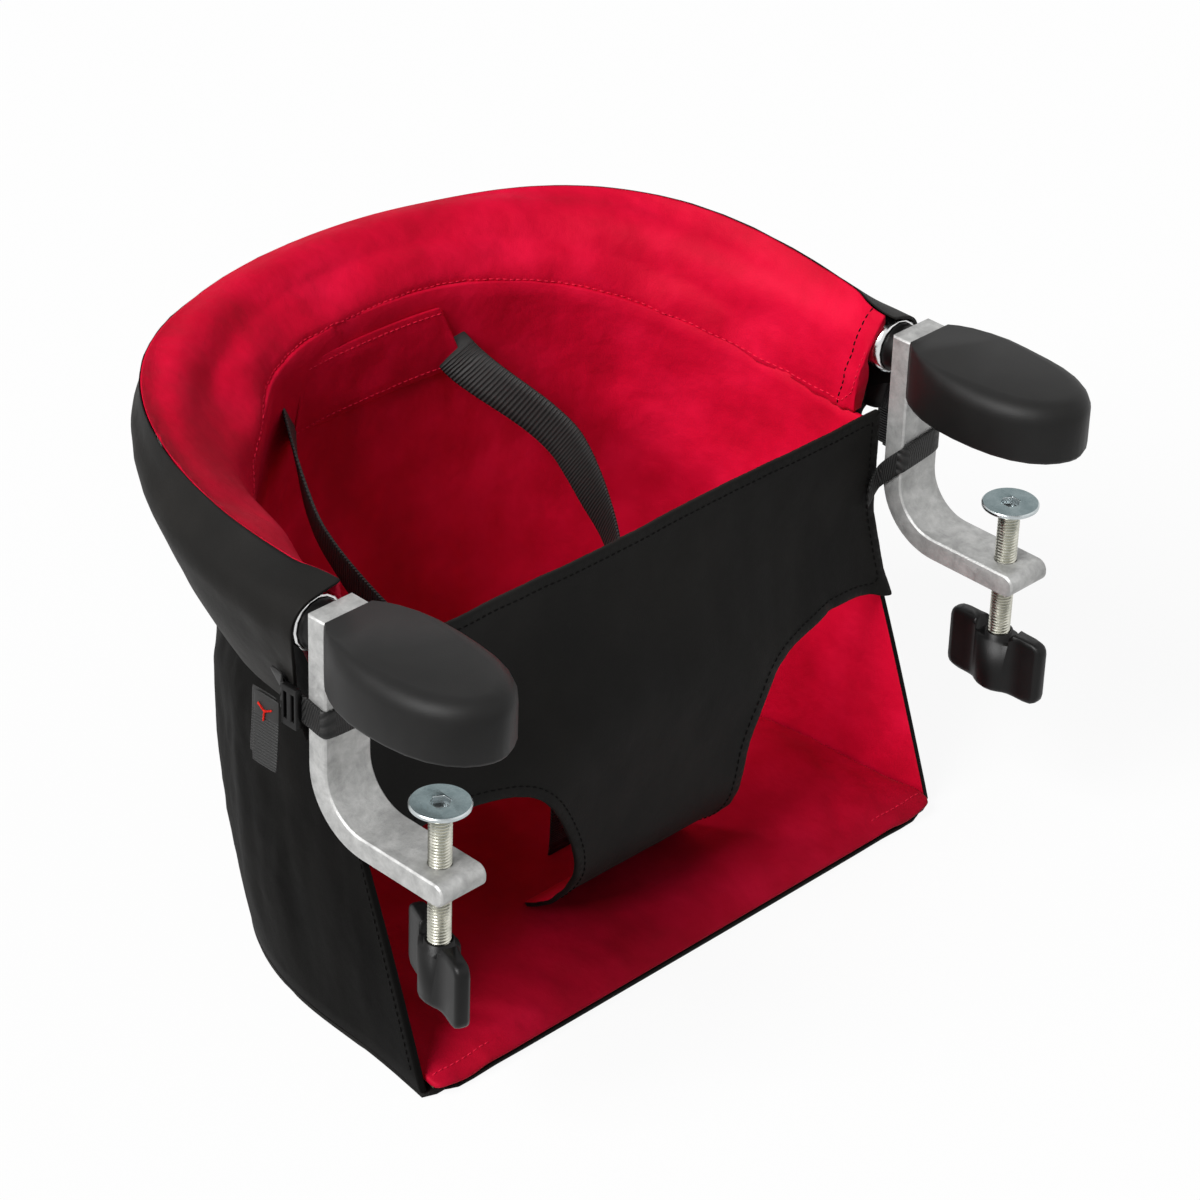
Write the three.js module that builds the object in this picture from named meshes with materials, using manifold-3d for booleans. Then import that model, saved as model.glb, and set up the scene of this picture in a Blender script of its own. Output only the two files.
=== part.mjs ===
import * as THREE from 'three';
import { mergeVertices } from 'three/addons/utils/BufferGeometryUtils.js';
import Module from 'manifold-3d';

// A baby seat that clamps to a table top.
// Millimetres. X runs across the seat, Y from the table back to the rim, Z up.
// Zero lies midway between the clamps, at the rear face of their posts and level
// with the tops of the posts. The last group moves it under the middle of the part.

// Whole seat
const clampSpacing = 350;
const fitGap = 0.3;
const cutOverrun = 2;
const baseDepthBelowPosts = 233.5;

// Frame tube inside the rim
const tubeDiameter = 25.4;
const tubeWall = 1.6;
const tubeEndY = 7;
const tubeStraightEndY = 30;
const tubeBackY = 207;
const rimRise = 21.5;
const rimRiseStartY = 29;
const rimSquareness = 2.17;

// Clamp bracket, a C cast from flat bar
const postWidth = 25;
const postThickness = 10.7;
const jawDepthBelowTop = 103.5;
const jawReach = 80;
const bracketOuterRadius = 32;
const jawCornerRadius = 5;
const armDrop = 3;
const armThickness = 10;
const armReach = 86;
const armWidth = 20;
const bracketChamfer = 0.8;

// Pivot between bracket and tube
const pivotPinDiameter = 9;
const pivotPinSeatDepth = 6.5;
const pivotPinLength = 34;
const pivotHeadDiameter = 15;
const pivotHeadLength = 3;
const bushLength = 22;
const bushFlangeDiameter = 23;
const rivetHeadDiameter = 8;
const rivetHeadHeight = 2;
const rivetShankDiameter = 4;
const rivetSeatDepth = 3;
const rivetSetback = 6;

// Rubber grip over the upper arm
const gripWidth = 55;
const gripNoseY = 100;
const gripHeight = 27.5;
const gripCrown = 1;
const gripTopRounding = 9;
const gripBottomRounding = 2.5;
const gripFlareLength = 48;

// Clamp screw, head up
const screwDiameter = 10;
const screwHeadDiameter = 26.1;
const screwHeadRim = 2;
const screwHeadCone = 6;
const screwHeadDrop = 63;
const screwAxisY = 65.3;
const screwToKnob = 67.4;
const screwInKnob = 22;
const hexAcrossFlats = 6;
const hexDepth = 4.5;

// Knob with two wings
const knobHubDiameter = 17;
const knobCollarDiameter = 13;
const knobCollarHeight = 3;
const knobWingSpan = 54;
const knobWingHeight = 31.5;
const knobSaddleDepth = 5.4;
const knobSaddleRadius = 11;
const knobWingRounding = 5;
const leftKnobTurnDegrees = 21;

// Rim sleeve around the tube: padded inside, cover outside
const coverThickness = 1.6;
const padThickness = 6;
const padPuff = 5;
const sideSeamInset = 15;
const sideSeamDrop = 33;
const backSeamInset = 35;
const backSeamDrop = 5;
const sideHemInset = 9.5;
const sideHemDrop = 57;
const backHemInset = 14;
const backHemDrop = 61;
const frontHemFlare = 14.5;
const hemBelly = 2;
const sleeveEndCut = 5;
const padEndSlant = 12;
const sleeveEndY = 3;
const sideRidgeDegrees = 115;
const backRidgeDegrees = 50;
const sideRidgeLift = 6;
const backRidgeLift = 1;
const armRidgeLift = 5.5;
const armRidgeStation = 0.48;
const armRidgeReach = 0.3;

// Fabric walls of the pod
const wallThickness = 3;
const wallSquareness = 2.6;
const wallSquarenessBase = 2.3;
const wallHalfWidthTop = 162.5;
const wallHalfWidthBase = 157;
const wallHalfWidthFrontBase = 163;
const wallBackTop = 172.5;
const wallBackBase = 160;
const wallStraightEndY = 10;
const wallBulgeTopDrop = 70;
const panelTopDrop = 39;
const panelFrontY = 3.2;
const panelSweepStartDrop = 105;
const panelSetback = 0.6;
const frontEdgeY = -49;

// Front panel with its leg holes and tongue
const panelThickness = 2.4;
const panelHalfWidth = 161.5;
const tongueBulge = 26;
const tongueBulgeFade = 80;
const tongueBulgeDepth = 85;
const tongueFootY = 17;
const legHoleDip = 34;
const legHoleDipWidth = 80;

// Base
const trayThickness = 2;
const boardThickness = 3;
const basePadThickness = 4;
const pipingDiameter = 3.6;

// Harness
const guideHalfWidth = 53;
const guideTopDrop = 9;
const guideBottomDrop = 42;
const guideThickness = 1.5;
const beltWidth = 20;
const beltThickness = 1.5;
const beltSpread = 63;
const beltBackY = 161.5;
const buckleWidth = 40;
const buckleHeight = 44;
const buckleThickness = 14;
const buckleChamfer = 3;
const buckleY = 33;
const buckleDrop = 138;
const buttonWidth = 17;
const buttonHeight = 20;
const buttonDepth = 5;
const buttonProud = 1.2;
const buttonTravel = 2.5;
const bladeWidth = 16;
const bladeLength = 10;
const bladeThickness = 3;
const bladeRise = 8;
const loopHeight = 27;
const loopLength = 14;
const loopSlotLength = 5;
const loopSlotHeight = 21;
const crotchStrapWidth = 25;
const crotchStrapThickness = 1.5;
const crotchStrapFoot = 22;

// Straps that tie the panel to the clamp posts
const strapWidth = 13;
const strapThickness = 1.4;
const strapCorner = 0.9;
const strapDrop = 45;
const rightStrapFall = 36;
const leftStrapFall = 10;
const strapStartX = 154;
const strapEndY = 27;
const sliderY = 6;
const sliderLength = 9;
const sliderHeight = 19;
const sliderThickness = 3;
const sliderSlotWidth = 2;
const tailLength = 35;
const tailWidth = 15;
const tailStartY = 11;

// Materials
const redFabric = new THREE.MeshStandardMaterial({ color: 0xc8102e, roughness: 0.85 });
const blackFabric = new THREE.MeshStandardMaterial({ color: 0x1c1b19, roughness: 0.9 });
const blackWebbing = new THREE.MeshStandardMaterial({ color: 0x161616, roughness: 0.8 });
const castAluminium = new THREE.MeshStandardMaterial({
  color: 0xafafac, roughness: 0.55, metalness: 0.7,
});
const steelTube = new THREE.MeshStandardMaterial({ color: 0xc8c9ca, roughness: 0.25, metalness: 1 });
const zincSteel = new THREE.MeshStandardMaterial({ color: 0xbfc4c6, roughness: 0.3, metalness: 1 });
const blackRubber = new THREE.MeshStandardMaterial({ color: 0x323130, roughness: 0.6 });
const blackPlastic = new THREE.MeshStandardMaterial({ color: 0x1a1a1b, roughness: 0.45 });
const redPlastic = new THREE.MeshStandardMaterial({ color: 0xb3101f, roughness: 0.4 });
const boardMaterial = new THREE.MeshStandardMaterial({ color: 0x6a5a45, roughness: 0.8 });

// Sizes that follow from the ones above
const clampX = clampSpacing / 2;
const tubeRadius = tubeDiameter / 2;
const bracketInnerRadius = bracketOuterRadius - postThickness;
const floorZ = -baseDepthBelowPosts;
const gripMouthY = -postThickness - fitGap;
const knobTopZ = -screwHeadDrop - screwToKnob;
const padTopZ = floorZ + trayThickness + boardThickness + basePadThickness + 2 * fitGap;
const coverOuterRadius = tubeRadius + 2 * fitGap + coverThickness;
const fullTurn = 2 * Math.PI;
const rightAngle = Math.PI / 2;

const wasm = await Module();
wasm.setup();

const seat = new THREE.Group();

// Geometry helpers

function toManifold(geometry) {
  const plain = geometry.clone();
  plain.deleteAttribute('normal');
  plain.deleteAttribute('uv');
  const merged = mergeVertices(plain, 1e-4);
  const index = merged.index.array;
  return new wasm.Manifold(new wasm.Mesh({
    numProp: 3,
    vertProperties: Float32Array.from(merged.attributes.position.array),
    triVerts: Uint32Array.from(index),
  }));
}

function fromManifold(solid) {
  const mesh = solid.getMesh();
  const geometry = new THREE.BufferGeometry();
  geometry.setAttribute('position', new THREE.BufferAttribute(mesh.vertProperties, 3));
  geometry.setIndex(new THREE.BufferAttribute(mesh.triVerts, 1));
  return geometry;
}

function cut(geometry, ...tools) {
  let solid = toManifold(geometry);
  for (const tool of tools) solid = solid.subtract(toManifold(tool));
  return fromManifold(solid);
}

function join(geometry, ...others) {
  let solid = toManifold(geometry);
  for (const other of others) solid = solid.add(toManifold(other));
  return fromManifold(solid);
}

function signedVolume(points, faces) {
  let volume = 0;
  const cross = new THREE.Vector3();
  for (const [a, b, c] of faces) {
    cross.crossVectors(points[b], points[c]);
    volume += points[a].dot(cross) / 6;
  }
  return volume;
}

function closedGeometry(points, faces) {
  const outward = signedVolume(points, faces) > 0;
  const geometry = new THREE.BufferGeometry();
  const flat = points.flatMap((point) => [point.x, point.y, point.z]);
  const order = faces.flatMap(([a, b, c]) => (outward ? [a, b, c] : [a, c, b]));
  geometry.setAttribute('position', new THREE.Float32BufferAttribute(flat, 3));
  geometry.setIndex(order);
  return geometry;
}

// Triangles across one closed ring of points, whatever its outline
function capFaces(ring, start) {
  const normal = new THREE.Vector3();
  ring.forEach((point, i) => {
    const next = ring[(i + 1) % ring.length];
    normal.x += (point.y - next.y) * (point.z + next.z);
    normal.y += (point.z - next.z) * (point.x + next.x);
    normal.z += (point.x - next.x) * (point.y + next.y);
  });
  normal.normalize();
  const side = new THREE.Vector3(1, 0, 0);
  if (Math.abs(normal.x) > Math.SQRT1_2) side.set(0, 1, 0);
  const u = new THREE.Vector3().crossVectors(normal, side).normalize();
  const v = new THREE.Vector3().crossVectors(normal, u);
  const flat = ring.map((point) => new THREE.Vector2(point.dot(u), point.dot(v)));
  const forward = !THREE.ShapeUtils.isClockWise(flat);
  const count = ring.length;
  const order = forward ? flat : flat.slice().reverse();
  const place = (i) => start + (forward ? i : count - 1 - i);
  return THREE.ShapeUtils.triangulateShape(order, []).map(([a, b, c]) => {
    const face = [place(a), place(b), place(c)];
    return forward ? face : [face[0], face[2], face[1]];
  });
}

// A solid through a row of closed rings, with a flat cap on each end
function loft(rings) {
  const count = rings[0].length;
  const points = rings.flat();
  const faces = [];
  for (let r = 0; r < rings.length - 1; r += 1) {
    for (let i = 0; i < count; i += 1) {
      const a = r * count + i;
      const b = r * count + ((i + 1) % count);
      faces.push([a, b, b + count], [a, b + count, a + count]);
    }
  }
  const lastStart = (rings.length - 1) * count;
  const first = capFaces(rings[0], 0);
  const last = capFaces(rings[rings.length - 1], lastStart);
  // One cap is turned so that its edges run against those of the walls
  const usesEdge = (caps, a, b) => caps.some((face) => face.some((p, k) => (
    p === a && face[(k + 1) % 3] === b)));
  const turn = (caps) => caps.map(([a, b, c]) => [a, c, b]);
  faces.push(...(usesEdge(first, 0, 1) ? turn(first) : first));
  faces.push(...(usesEdge(last, lastStart, lastStart + 1) ? last : turn(last)));
  return closedGeometry(points, faces);
}

// A pipe: an outer and an inner row of rings joined at both ends
function pipe(outerRings, innerRings) {
  const count = outerRings[0].length;
  const rows = outerRings.length;
  const points = [...outerRings.flat(), ...innerRings.flat()];
  const innerStart = rows * count;
  const faces = [];
  const strip = (a0, b0, a1, b1) => faces.push([a0, b0, b1], [a0, b1, a1]);
  for (let i = 0; i < count; i += 1) {
    const next = (i + 1) % count;
    for (let r = 0; r < rows - 1; r += 1) {
      const here = r * count;
      strip(here + i, here + next, here + count + i, here + count + next);
      const inner = innerStart + here;
      strip(inner + next, inner + i, inner + count + next, inner + count + i);
    }
    strip(innerStart + i, innerStart + next, i, next);
    const end = (rows - 1) * count;
    strip(end + i, end + next, innerStart + end + i, innerStart + end + next);
  }
  return closedGeometry(points, faces);
}

// A sheet of cloth with a thickness: rows of points on its face, grown along
// their normals. A negative thickness grows it the other way.
function sheet(rows, thickness) {
  const height = rows.length;
  const width = rows[0].length;
  const along = new THREE.Vector3();
  const across = new THREE.Vector3();
  const back = rows.map((row, r) => row.map((point, c) => {
    along.subVectors(rows[Math.min(r + 1, height - 1)][c], rows[Math.max(r - 1, 0)][c]);
    across.subVectors(row[Math.min(c + 1, width - 1)], row[Math.max(c - 1, 0)]);
    return new THREE.Vector3().crossVectors(along, across).setLength(thickness).add(point);
  }));
  const points = [...rows.flat(), ...back.flat()];
  const half = height * width;
  const faces = [];
  const quad = (a, b, c, d) => faces.push([a, b, c], [a, c, d]);
  for (let r = 0; r < height - 1; r += 1) {
    for (let c = 0; c < width - 1; c += 1) {
      const a = r * width + c;
      quad(a, a + 1, a + 1 + width, a + width);
      quad(half + a, half + a + width, half + a + 1 + width, half + a + 1);
    }
  }
  for (let c = 0; c < width - 1; c += 1) {
    const end = (height - 1) * width + c;
    quad(c, half + c, half + c + 1, c + 1);
    quad(end, end + 1, half + end + 1, half + end);
  }
  for (let r = 0; r < height - 1; r += 1) {
    const a = r * width;
    const b = a + width - 1;
    quad(a, a + width, half + a + width, half + a);
    quad(b, half + b, half + b + width, b + width);
  }
  return closedGeometry(points, faces);
}

// Flat webbing along a route: each stop has a place and the way its face looks
function webbing(stops, width, thickness) {
  const curve = new THREE.CatmullRomCurve3(stops.map((stop) => stop.at), false, 'centripetal');
  const steps = (stops.length - 1) * webbingStepsPerStop;
  const rows = [[], []];
  for (let i = 0; i <= steps; i += 1) {
    const share = i / steps;
    const place = share * (stops.length - 1);
    const before = Math.min(Math.floor(place), stops.length - 2);
    const facing = stops[before].facing.clone().lerp(stops[before + 1].facing, place - before);
    const centre = curve.getPoint(share);
    const side = new THREE.Vector3().crossVectors(curve.getTangent(share), facing);
    side.setLength(width / 2);
    rows[0].push(centre.clone().add(side));
    rows[1].push(centre.clone().sub(side));
  }
  return sheet(rows, thickness);
}
const webbingStepsPerStop = 3;

// A solid of revolution about Z from a list of [radius, z]
function turned(profile, sides) {
  const geometry = new THREE.LatheGeometry(
    profile.map(([radius, z]) => new THREE.Vector2(radius, z)), sides);
  geometry.rotateX(rightAngle);
  return cleaned(geometry);
}

function cleaned(geometry) {
  geometry.deleteAttribute('normal');
  geometry.deleteAttribute('uv');
  const merged = mergeVertices(geometry, 1e-4);
  const at = merged.attributes.position;
  const points = [];
  for (let i = 0; i < at.count; i += 1) points.push(new THREE.Vector3().fromBufferAttribute(at, i));
  const faces = [];
  const order = merged.index.array;
  for (let i = 0; i < order.length; i += 3) {
    const [a, b, c] = [order[i], order[i + 1], order[i + 2]];
    if (a !== b && b !== c && a !== c) faces.push([a, b, c]);
  }
  return closedGeometry(points, faces);
}

function rod(radius, length, sides) {
  return turned([[0, 0], [radius, 0], [radius, length], [0, length]], sides);
}

function block(sizeX, sizeY, sizeZ, x, y, z) {
  const geometry = new THREE.BoxGeometry(sizeX, sizeY, sizeZ);
  geometry.translate(x, y, z);
  return geometry;
}

function add(name, geometry, material, parent = seat) {
  const mesh = new THREE.Mesh(geometry, material);
  mesh.name = name;
  parent.add(mesh);
  return mesh;
}

// A piece drawn for the right side, and its mirror image on the left
function addPair(name, geometry, material) {
  add(`right_${name}`, geometry, material);
  add(`left_${name}`, mirrored(geometry), material);
}

function mirrored(geometry) {
  const copy = geometry.clone();
  copy.scale(-1, 1, 1);
  return cleaned(copy);
}

function ease(share) {
  const held = Math.min(Math.max(share, 0), 1);
  return held * held * (3 - 2 * held);
}

// Plan curves. A station runs from -1 at the left front, through 0 at the middle
// of the back, to 1 at the right front. The first part of each half is the bend.
const bendShare = 0.72;

function planPoint(plan, station) {
  const side = Math.sign(station) || 1;
  const reach = Math.abs(station);
  const power = 2 / plan.squareness;
  if (reach <= bendShare) {
    const angle = (reach / bendShare) * rightAngle;
    return new THREE.Vector2(
      side * plan.halfWidth * Math.sin(angle) ** power,
      plan.straightEndY + (plan.backY - plan.straightEndY) * Math.cos(angle) ** power,
    );
  }
  const run = (reach - bendShare) / (1 - bendShare);
  const flare = plan.frontFlare * run ** flarePower;
  return new THREE.Vector2(
    side * (plan.halfWidth + flare),
    plan.straightEndY + (plan.frontY - plan.straightEndY) * run,
  );
}
const flarePower = 1.5;

function planNormal(plan, station) {
  const step = 1e-3;
  const before = planPoint(plan, Math.max(station - step, -1));
  const after = planPoint(plan, Math.min(station + step, 1));
  const run = after.sub(before).normalize();
  return new THREE.Vector2(-run.y, run.x);
}

function stationsBetween(from, to, count) {
  return Array.from({ length: count + 1 }, (_, i) => from + ((to - from) * i) / count);
}

// The rim: where the tube runs and how the sleeve hangs on it
const tubePlan = {
  halfWidth: clampX,
  straightEndY: tubeStraightEndY,
  backY: tubeBackY,
  frontY: tubeEndY,
  squareness: rimSquareness,
  frontFlare: 0,
};
const sleevePlan = { ...tubePlan, frontY: sleeveEndY };

function tubeCentreZ(y) {
  const share = (y - rimRiseStartY) / (tubeBackY - rimRiseStartY);
  return -tubeRadius + rimRise * ease(share);
}

function rimFrame(plan, station) {
  const at = planPoint(plan, station);
  const normal = planNormal(plan, station);
  const centre = new THREE.Vector3(at.x, at.y, tubeCentreZ(at.y));
  return { centre, normal, place: (n, z, y = 0) => new THREE.Vector3(
    centre.x + normal.x * n, centre.y + normal.y * n + y, centre.z + z) };
}

// How far a station is round towards the back: 0 on the sides, 1 in the middle
const backSharePower = 1.5;
function backShare(station) {
  const reach = Math.min(Math.abs(station) / bendShare, 1);
  return Math.max(Math.cos(reach * rightAngle), 0) ** backSharePower;
}

function between(from, to, share) {
  return from + (to - from) * share;
}

// How far a station has come along the straight run from the bend to the clamp
function straightShare(station) {
  return Math.max((Math.abs(station) - bendShare) / (1 - bendShare), 0);
}

function frameTube() {
  const stations = stationsBetween(-1, 1, rimSteps);
  const ringAt = (station, radius) => {
    const frame = rimFrame(tubePlan, station);
    return Array.from({ length: tubeSides }, (_, i) => {
      const angle = (i / tubeSides) * fullTurn;
      return frame.place(radius * Math.cos(angle), radius * Math.sin(angle));
    });
  };
  const geometry = pipe(
    stations.map((station) => ringAt(station, tubeRadius)),
    stations.map((station) => ringAt(station, tubeRadius - tubeWall)),
  );
  const holes = [-1, 1].map((side) => {
    const hole = rod(rivetShankDiameter / 2 + fitGap, tubeRadius, rivetSides);
    hole.translate(side * clampX, tubeEndY + rivetSetback, -tubeDiameter - cutOverrun);
    return hole;
  });
  return cut(geometry, ...holes);
}
const rimSteps = 36;
const tubeSides = 16;
const rivetSides = 12;

// Padded inside of the sleeve, from the ridge over the tube down to the seam
function seamOffset(station) {
  const share = backShare(station);
  return {
    n: -between(sideSeamInset, backSeamInset, share),
    z: -between(sideSeamDrop, backSeamDrop, share),
  };
}
const padFaceShares = [0.09, 0.18, 0.27, 0.37, 0.48, 0.6, 0.72, 0.86];
const padRootShare = 0.8;
const padTubeShares = [0, 0.2, 0.4, 0.6, 0.8, 1];
const padTubeLowAngle = THREE.MathUtils.degToRad(222);
const ridgeSplitAngle = THREE.MathUtils.degToRad(1.2);
const ridgeGapAngle = THREE.MathUtils.degToRad(4);

function onCircle(angle, radius) {
  return new THREE.Vector2(Math.cos(angle), Math.sin(angle)).multiplyScalar(radius);
}

// The ridge stands up from the tube, a little inwards by the clamps and outwards
// round the back
const ridgeTurnStation = 0.8;
function ridgeShare(station) {
  return ease((1 - Math.abs(station)) / ridgeTurnStation);
}

function ridgeAngleAt(station) {
  return THREE.MathUtils.degToRad(
    between(sideRidgeDegrees, backRidgeDegrees, ridgeShare(station)));
}

function ridgeRadiusAt(station) {
  const fromArm = (Math.abs(station) - armRidgeStation) / armRidgeReach;
  const lift = between(sideRidgeLift, backRidgeLift, ridgeShare(station));
  return coverOuterRadius + lift + armRidgeLift * Math.max(1 - fromArm * fromArm, 0);
}

function rimPad() {
  const seatRadius = tubeRadius + 3 * fitGap;
  const rings = stationsBetween(-1, 1, rimSteps).map((station) => {
    const frame = rimFrame(sleevePlan, station);
    const ridgeAngle = ridgeAngleAt(station);
    const ridge = onCircle(ridgeAngle + ridgeSplitAngle, ridgeRadiusAt(station));
    const tubeSide = padTubeShares.map((share) => onCircle(
      between(padTubeLowAngle, ridgeAngle + ridgeGapAngle, share), seatRadius));
    const seamAt = seamOffset(station);
    const seam = new THREE.Vector2(seamAt.n, seamAt.z);
    const run = seam.clone().sub(ridge);
    const inward = new THREE.Vector2(run.y, -run.x).normalize();
    const onChord = (share, lift) => ridge.clone().addScaledVector(run, share)
      .addScaledVector(inward, lift);
    const face = padFaceShares.map((share) => {
      const point = onChord(share, padPuff * Math.sin(share * Math.PI));
      return point.setLength(Math.max(point.length(), coverOuterRadius));
    });
    const section = [
      ridge,
      ...face,
      seam,
      onChord(1, -padThickness),
      onChord(padRootShare, -padThickness),
      ...tubeSide,
      onCircle(ridgeAngle + ridgeGapAngle, coverOuterRadius),
    ];
    return section.map((p) => {
      const down = THREE.MathUtils.clamp((ridge.y - p.y) / (ridge.y - seam.y), 0, 1);
      return frame.place(p.x, p.y, padEndSlant * straightShare(station) * down);
    });
  });
  return loft(rings);
}

// Outer cover of the sleeve, over the tube and down to a free hem
const coverArcSteps = 9;
const coverPeakSteps = 3;
const hemShares = [0.35, 0.7, 1];

function coverOuterLine(station) {
  const share = backShare(station);
  const hem = new THREE.Vector2(
    frontHemFlare * straightShare(station) ** 2 - between(sideHemInset, backHemInset, share),
    -between(sideHemDrop, backHemDrop, share),
  );
  const leave = Math.atan2(hem.y, hem.x) + Math.acos(coverOuterRadius / hem.length());
  const arc = Array.from({ length: coverArcSteps + 1 }, (_, i) => (
    between(ridgeAngleAt(station), leave, i / coverArcSteps)));
  const peak = ridgeRadiusAt(station) - coverOuterRadius;
  const radii = arc.map((_, i) => (
    coverOuterRadius + peak * Math.max(1 - i / coverPeakSteps, 0) ** 2));
  const outer = arc.map((angle, i) => onCircle(angle, radii[i]));
  const inner = arc.map((angle, i) => onCircle(angle, radii[i] - coverThickness));
  const start = outer[outer.length - 1];
  const fall = hem.clone().sub(start);
  const out = new THREE.Vector2(-fall.y, fall.x).normalize();
  for (const along of hemShares) {
    const point = start.clone().addScaledVector(fall, along)
      .addScaledVector(out, hemBelly * Math.sin(along * Math.PI));
    outer.push(point);
    inner.push(point.clone().addScaledVector(out, -coverThickness));
  }
  return { outer, inner };
}

// The cover's open ends are cut back in a curve that bares the end of the tube
function coverEndCuts(line) {
  let length = 0;
  const lengths = line.map((p, i) => {
    length += i ? p.distanceTo(line[i - 1]) : 0;
    return length;
  });
  return lengths.map((at) => (
    sleeveEndCut * Math.sin(Math.PI * endCutShare * (at / length) ** endCutPower)));
}
const endCutShare = 0.8;
const endCutPower = 0.75;

function rimCover() {
  const rings = stationsBetween(-1, 1, rimSteps).map((station) => {
    const frame = rimFrame(sleevePlan, station);
    const { outer, inner } = coverOuterLine(station);
    const cuts = coverEndCuts(outer).map((depth) => depth * straightShare(station) ** 2);
    const outerRow = outer.map((p, i) => frame.place(p.x, p.y, cuts[i]));
    const innerRow = inner.map((p, i) => frame.place(p.x, p.y, cuts[i]));
    return [...outerRow, ...innerRow.reverse()];
  });
  return loft(rings);
}

// Front edge of the side walls and of the front panel, seen from the side
const sweepPower = 0.9;
function panelEdgeY(z) {
  const lower = Math.max(-z - panelSweepStartDrop, 0);
  const share = lower / (baseDepthBelowPosts - panelSweepStartDrop);
  return between(panelFrontY, frontEdgeY + panelThickness + fitGap, share ** sweepPower);
}

// Walls. Their height runs from 0 at the seam to 1 at the foot.
function wallPlan(z) {
  const share = Math.min((z - floorZ) / (baseDepthBelowPosts - wallBulgeTopDrop), 1);
  const fill = 1 - (1 - share) ** 3;
  return {
    halfWidth: between(wallHalfWidthBase, wallHalfWidthTop, fill),
    backY: between(wallBackBase, wallBackTop, fill),
    straightEndY: wallStraightEndY,
    frontY: panelEdgeY(z) + panelThickness + panelSetback,
    squareness: between(wallSquarenessBase, wallSquareness, fill),
    frontFlare: between(wallHalfWidthFrontBase - wallHalfWidthBase, 0, fill),
  };
}

const wallHeightShares = [0.16, 0.315, 0.4, 0.52, 0.68, 0.84, 1];
const wallFootZ = floorZ + trayThickness + fitGap;

function wallTop(station) {
  const seamAt = seamOffset(station);
  const plan = { ...sleevePlan, frontY: panelFrontY + panelThickness + panelSetback };
  const frame = rimFrame(plan, station);
  const ridge = onCircle(ridgeAngleAt(station) + ridgeSplitAngle, ridgeRadiusAt(station));
  const run = new THREE.Vector2(seamAt.n - ridge.x, seamAt.z - ridge.y).normalize();
  const under = -run.x * padThickness;
  const wallOut = wallThickness + fitGap;
  return frame.place(seamAt.n + wallOut, seamAt.z - under - wallTopClearance);
}
const wallTopClearance = 0.4;

function wallColumn(station) {
  const top = wallTop(station);
  const column = [top];
  for (const share of wallHeightShares) {
    const z = between(top.z, wallFootZ, share);
    const at = planPoint(wallPlan(z), station);
    column.push(new THREE.Vector3(at.x, at.y, z));
  }
  return column;
}

function wallPanel(from, to, steps) {
  const columns = stationsBetween(from, to, steps).map(wallColumn);
  const rows = columns[0].map((_, r) => columns.map((column) => column[r]));
  return sheet(rows, wallThickness);
}
const sideSeamStation = 0.4;
const seamHalfGap = 0.0012;
const sideWallSteps = 14;
const backWallSteps = 20;

// Front panel: rows from the top edge down to the foot of the tongue
const panelRows = [
  { dropShare: 0, widthShare: 1 },
  { dropShare: 0.12, widthShare: 1 },
  { dropShare: 0.24, widthShare: 1 },
  { dropShare: 0.37, widthShare: 1 },
  { dropShare: 0.44, widthShare: 1 },
  { dropShare: 0.452, widthShare: 0.62 },
  { dropShare: 0.462, widthShare: 0.51 },
  { dropShare: 0.476, widthShare: 0.45 },
  { dropShare: 0.495, widthShare: 0.415 },
  { dropShare: 0.52, widthShare: 0.39 },
  { dropShare: 0.56, widthShare: 0.35 },
  { dropShare: 0.64, widthShare: 0.325 },
  { dropShare: 0.72, widthShare: 0.315 },
  { dropShare: 0.8, widthShare: 0.315 },
  { dropShare: 0.87, widthShare: 0.318 },
  { dropShare: 0.93, widthShare: 0.318 },
  { dropShare: 0.97, widthShare: 0.305 },
  { dropShare: 1, widthShare: 0.29 },
];
const panelColumns = 18;
const footCurlShare = 0.8;
const footCurlPower = 1.6;

// The panel stays flat where a clamp folds past it and swells forward elsewhere
function clampSweepShare(x, z) {
  const reach = Math.hypot(clampX - Math.abs(x), z + tubeRadius);
  const sweep = Math.hypot(postWidth / 2, jawDepthBelowTop - tubeRadius) + fitGap;
  return ease((reach - sweep) / tongueBulgeFade);
}

function frontPanel() {
  const topZ = -panelTopDrop;
  const footZ = padTopZ + fitGap + panelThickness;
  const rows = panelRows.map(({ dropShare, widthShare }) => {
    const rowZ = between(topZ, footZ, dropShare);
    const half = panelHalfWidth * widthShare;
    const curl = Math.max((dropShare - footCurlShare) / (1 - footCurlShare), 0) ** footCurlPower;
    return stationsBetween(-1, 1, panelColumns).map((station) => {
      const x = half * station;
      const dip = ease((Math.abs(x) - legHoleDipWidth) / (panelHalfWidth - legHoleDipWidth));
      const z = rowZ - legHoleDip * dip * dropShare;
      const spread = clampSweepShare(x, z);
      const swell = tongueBulge * ease((topZ - z) / tongueBulgeDepth) * spread;
      const edge = between(panelEdgeY(z), panelFrontY, spread);
      return new THREE.Vector3(x, between(edge - swell, tongueFootY, curl), z);
    });
  });
  return sheet(rows, -panelThickness);
}

// Base slabs share the plan of the wall's foot
function baseSlab(lowZ, thickness, inset, frontInset) {
  const plan = { ...wallPlan(wallFootZ), frontY: frontEdgeY + frontInset };
  const outline = stationsBetween(-1, 1, baseSteps).map((station) => {
    const at = planPoint(plan, station);
    const normal = planNormal(plan, station);
    return new THREE.Vector2(at.x - normal.x * inset, Math.max(at.y - normal.y * inset, plan.frontY));
  });
  const ring = (z) => outline.map((p) => new THREE.Vector3(p.x, p.y, z));
  return loft([ring(lowZ), ring(lowZ + thickness)]);
}
const baseSteps = 36;

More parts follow.
